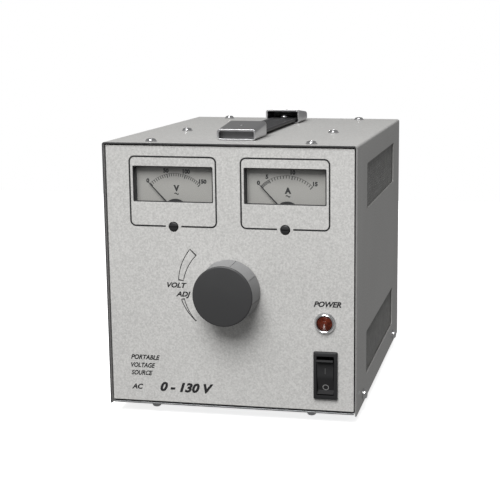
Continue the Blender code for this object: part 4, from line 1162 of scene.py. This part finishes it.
class AutotransformerSettings(bpy.types.PropertyGroup):
    """Sizes and colours that a user would change."""

    paint: bpy.props.FloatVectorProperty(
        name="Case paint", description="Colour of the case's enamel",
        default=(0.59, 0.585, 0.57), **COLOUR)
    peel: bpy.props.FloatProperty(
        name="Paint texture", description="Grains of orange peel along a metre of paint",
        default=1100.0, min=100.0, max=4000.0)
    grain: bpy.props.FloatProperty(
        name="Paint grain", description="Specks along a metre of paint", default=760.0, min=100.0, max=4000.0)
    ink: bpy.props.FloatVectorProperty(
        name="Ink", description="Colour of the print", default=(0.012, 0.012, 0.013), **COLOUR)
    line: bpy.props.FloatProperty(
        name="Line", description="Width of a printed line", default=0.0006, min=0.0001, max=0.002, **LENGTH)
    knob: bpy.props.FloatVectorProperty(
        name="Knob", description="Colour of the knob", default=(0.040, 0.040, 0.041), **COLOUR)
    skirt: bpy.props.FloatVectorProperty(
        name="Knob skirt", description="Colour of the knob's skirt", default=(0.29, 0.29, 0.292), **COLOUR)
    lip: bpy.props.FloatProperty(
        name="Knob lip", description="Depth of the skirt's round front lip",
        default=0.0010, min=0.0005, max=0.006, **LENGTH)
    panel_dip: bpy.props.FloatProperty(
        name="Knob panels", description="Depth of the skirt's panels at their middles", default=0.0007,
        min=0.0001, max=0.003, **LENGTH)
    ribs: bpy.props.IntProperty(
        name="Strap ribs", description="Ribs along the strap's top", default=7, min=1, max=20)
    lens: bpy.props.FloatVectorProperty(
        name="Lens", description="Colour of the unlit lamp lens", default=(0.16, 0.03, 0.015), **COLOUR)
    vent_reach: bpy.props.FloatVectorProperty(
        name="Vent reach", description="Front and rear ends of the vent windows", size=2,
        default=(0.052, 0.222), subtype="TRANSLATION", unit="LENGTH")
    vent_middles: bpy.props.FloatVectorProperty(
        name="Vent middles", description="Height of the middle of each vent window", size=2,
        default=(0.037, 0.1735), subtype="TRANSLATION", unit="LENGTH")
    vent_height: bpy.props.FloatProperty(
        name="Vent height", description="Height of each vent window",
        default=0.036, min=0.005, max=0.08, **LENGTH)
    vent_pitch: bpy.props.FloatProperty(
        name="Hole pitch", description="Height of the cell round each of the screen's holes",
        default=0.00215, min=0.002, max=0.02, **LENGTH)
    vent_hole: bpy.props.FloatProperty(
        name="Hole radius", description="Radius of the screen's holes",
        default=0.00098, min=0.0005, max=0.009, **LENGTH)
    focal: bpy.props.FloatProperty(
        name="Focal length", description="Focal length of the stage's camera",
        default=85.97, min=10.0, max=300.0,
        subtype="DISTANCE_CAMERA", unit="CAMERA")
    ambient: bpy.props.FloatProperty(
        name="Ambient", description="Strength of the light from all round",
        default=0.232, min=0.0, max=3.0)
    key: bpy.props.FloatProperty(
        name="Key light", description="Power of the key light",
        default=82.0, min=0.0, max=1000.0, unit="POWER")
    fill: bpy.props.FloatProperty(
        name="Rear light", description="Power of the light behind the object",
        default=8.0, min=0.0, max=1000.0,
        unit="POWER")
    floor_glow: bpy.props.FloatProperty(
        name="Floor glow", description="Light that the studio floor gives of its own",
        default=0.76, min=0.0, max=2.0)


class AUTOTRANSFORMER_OT_case(bpy.types.Operator):
    """Add the cover, its panels, the base tray and the feet"""

    bl_idname = "autotransformer.case"
    bl_label = "Case"
    bl_options = {"REGISTER", "UNDO"}

    def execute(self, context):
        return run(add_case, context)


class AUTOTRANSFORMER_OT_vents(bpy.types.Operator):
    """Add the perforated screens behind the vent windows"""

    bl_idname = "autotransformer.vents"
    bl_label = "Vent Screens"
    bl_options = {"REGISTER", "UNDO"}

    def execute(self, context):
        return run(add_vents, context)


class AUTOTRANSFORMER_OT_screws(bpy.types.Operator):
    """Add every screw that shows"""

    bl_idname = "autotransformer.screws"
    bl_label = "Screws"
    bl_options = {"REGISTER", "UNDO"}

    def execute(self, context):
        return run(add_screws, context)


class AUTOTRANSFORMER_OT_handle(bpy.types.Operator):
    """Add the handle's end caps and its ribbed strap"""

    bl_idname = "autotransformer.handle"
    bl_label = "Handle"
    bl_options = {"REGISTER", "UNDO"}

    def execute(self, context):
        return run(add_handle, context)


class AUTOTRANSFORMER_OT_print(bpy.types.Operator):
    """Add the front panel's printed frames, band and words"""

    bl_idname = "autotransformer.print"
    bl_label = "Panel Print"
    bl_options = {"REGISTER", "UNDO"}

    def execute(self, context):
        return run(add_print, context)


class AUTOTRANSFORMER_OT_knob(bpy.types.Operator):
    """Add the control knob on its shaft"""

    bl_idname = "autotransformer.knob"
    bl_label = "Control Knob"
    bl_options = {"REGISTER", "UNDO"}

    def execute(self, context):
        return run(add_knob, context)


class AUTOTRANSFORMER_OT_meters(bpy.types.Operator):
    """Add both meters with their dials, pointers and zero screws"""

    bl_idname = "autotransformer.meters"
    bl_label = "Meters"
    bl_options = {"REGISTER", "UNDO"}

    def execute(self, context):
        return run(add_meters, context)


class AUTOTRANSFORMER_OT_lamp(bpy.types.Operator):
    """Add the pilot lamp's ring and lens"""

    bl_idname = "autotransformer.lamp"
    bl_label = "Pilot Lamp"
    bl_options = {"REGISTER", "UNDO"}

    def execute(self, context):
        return run(add_lamp, context)


class AUTOTRANSFORMER_OT_switch(bpy.types.Operator):
    """Add the rocker switch and its marks"""

    bl_idname = "autotransformer.switch"
    bl_label = "Rocker Switch"
    bl_options = {"REGISTER", "UNDO"}

    def execute(self, context):
        return run(add_switch, context)


class AUTOTRANSFORMER_OT_rear(bpy.types.Operator):
    """Add the connectors and the circuit breaker on the rear panel"""

    bl_idname = "autotransformer.rear"
    bl_label = "Rear Fittings"
    bl_options = {"REGISTER", "UNDO"}

    def execute(self, context):
        return run(add_rear, context)


class AUTOTRANSFORMER_OT_transformer(bpy.types.Operator):
    """Finish the winding, its core and the brush gear"""

    bl_idname = "autotransformer.transformer"
    bl_label = "Autotransformer"
    bl_options = {"REGISTER", "UNDO"}

    def execute(self, context):
        return run(add_transformer, context)


class AUTOTRANSFORMER_OT_stage(bpy.types.Operator):
    """Add the floor, the lights and the camera"""

    bl_idname = "autotransformer.stage"
    bl_label = "Stage"
    bl_options = {"REGISTER", "UNDO"}

    def execute(self, context):
        return run(add_stage, context)


OPERATORS = (
    AUTOTRANSFORMER_OT_case,
    AUTOTRANSFORMER_OT_vents,
    AUTOTRANSFORMER_OT_screws,
    AUTOTRANSFORMER_OT_handle,
    AUTOTRANSFORMER_OT_print,
    AUTOTRANSFORMER_OT_knob,
    AUTOTRANSFORMER_OT_meters,
    AUTOTRANSFORMER_OT_lamp,
    AUTOTRANSFORMER_OT_switch,
    AUTOTRANSFORMER_OT_rear,
    AUTOTRANSFORMER_OT_transformer,
    AUTOTRANSFORMER_OT_stage,
)


class AUTOTRANSFORMER_PT_pieces(bpy.types.Panel):
    """Lists the operators that add the object's pieces."""

    bl_label = "Autotransformer"
    bl_idname = "AUTOTRANSFORMER_PT_pieces"
    bl_space_type = "VIEW_3D"
    bl_region_type = "UI"
    bl_category = "Autotransformer"

    def draw(self, context):
        settings = context.scene.autotransformer
        for name in settings.bl_rna.properties.keys():
            if name not in ("rna_type", "name"):
                self.layout.prop(settings, name)
        for operator in OPERATORS:
            self.layout.operator(operator.bl_idname)


CLASSES = (AutotransformerSettings, *OPERATORS, AUTOTRANSFORMER_PT_pieces)


def register():
    for cls in CLASSES:
        bpy.utils.register_class(cls)
    bpy.types.Scene.autotransformer = bpy.props.PointerProperty(type=AutotransformerSettings)


def unregister():
    del bpy.types.Scene.autotransformer
    for cls in reversed(CLASSES):
        bpy.utils.unregister_class(cls)


def main():
    register()
    for operator in OPERATORS:
        getattr(bpy.ops.autotransformer, operator.bl_idname.split(".")[1])()


if __name__ == "__main__":
    main()
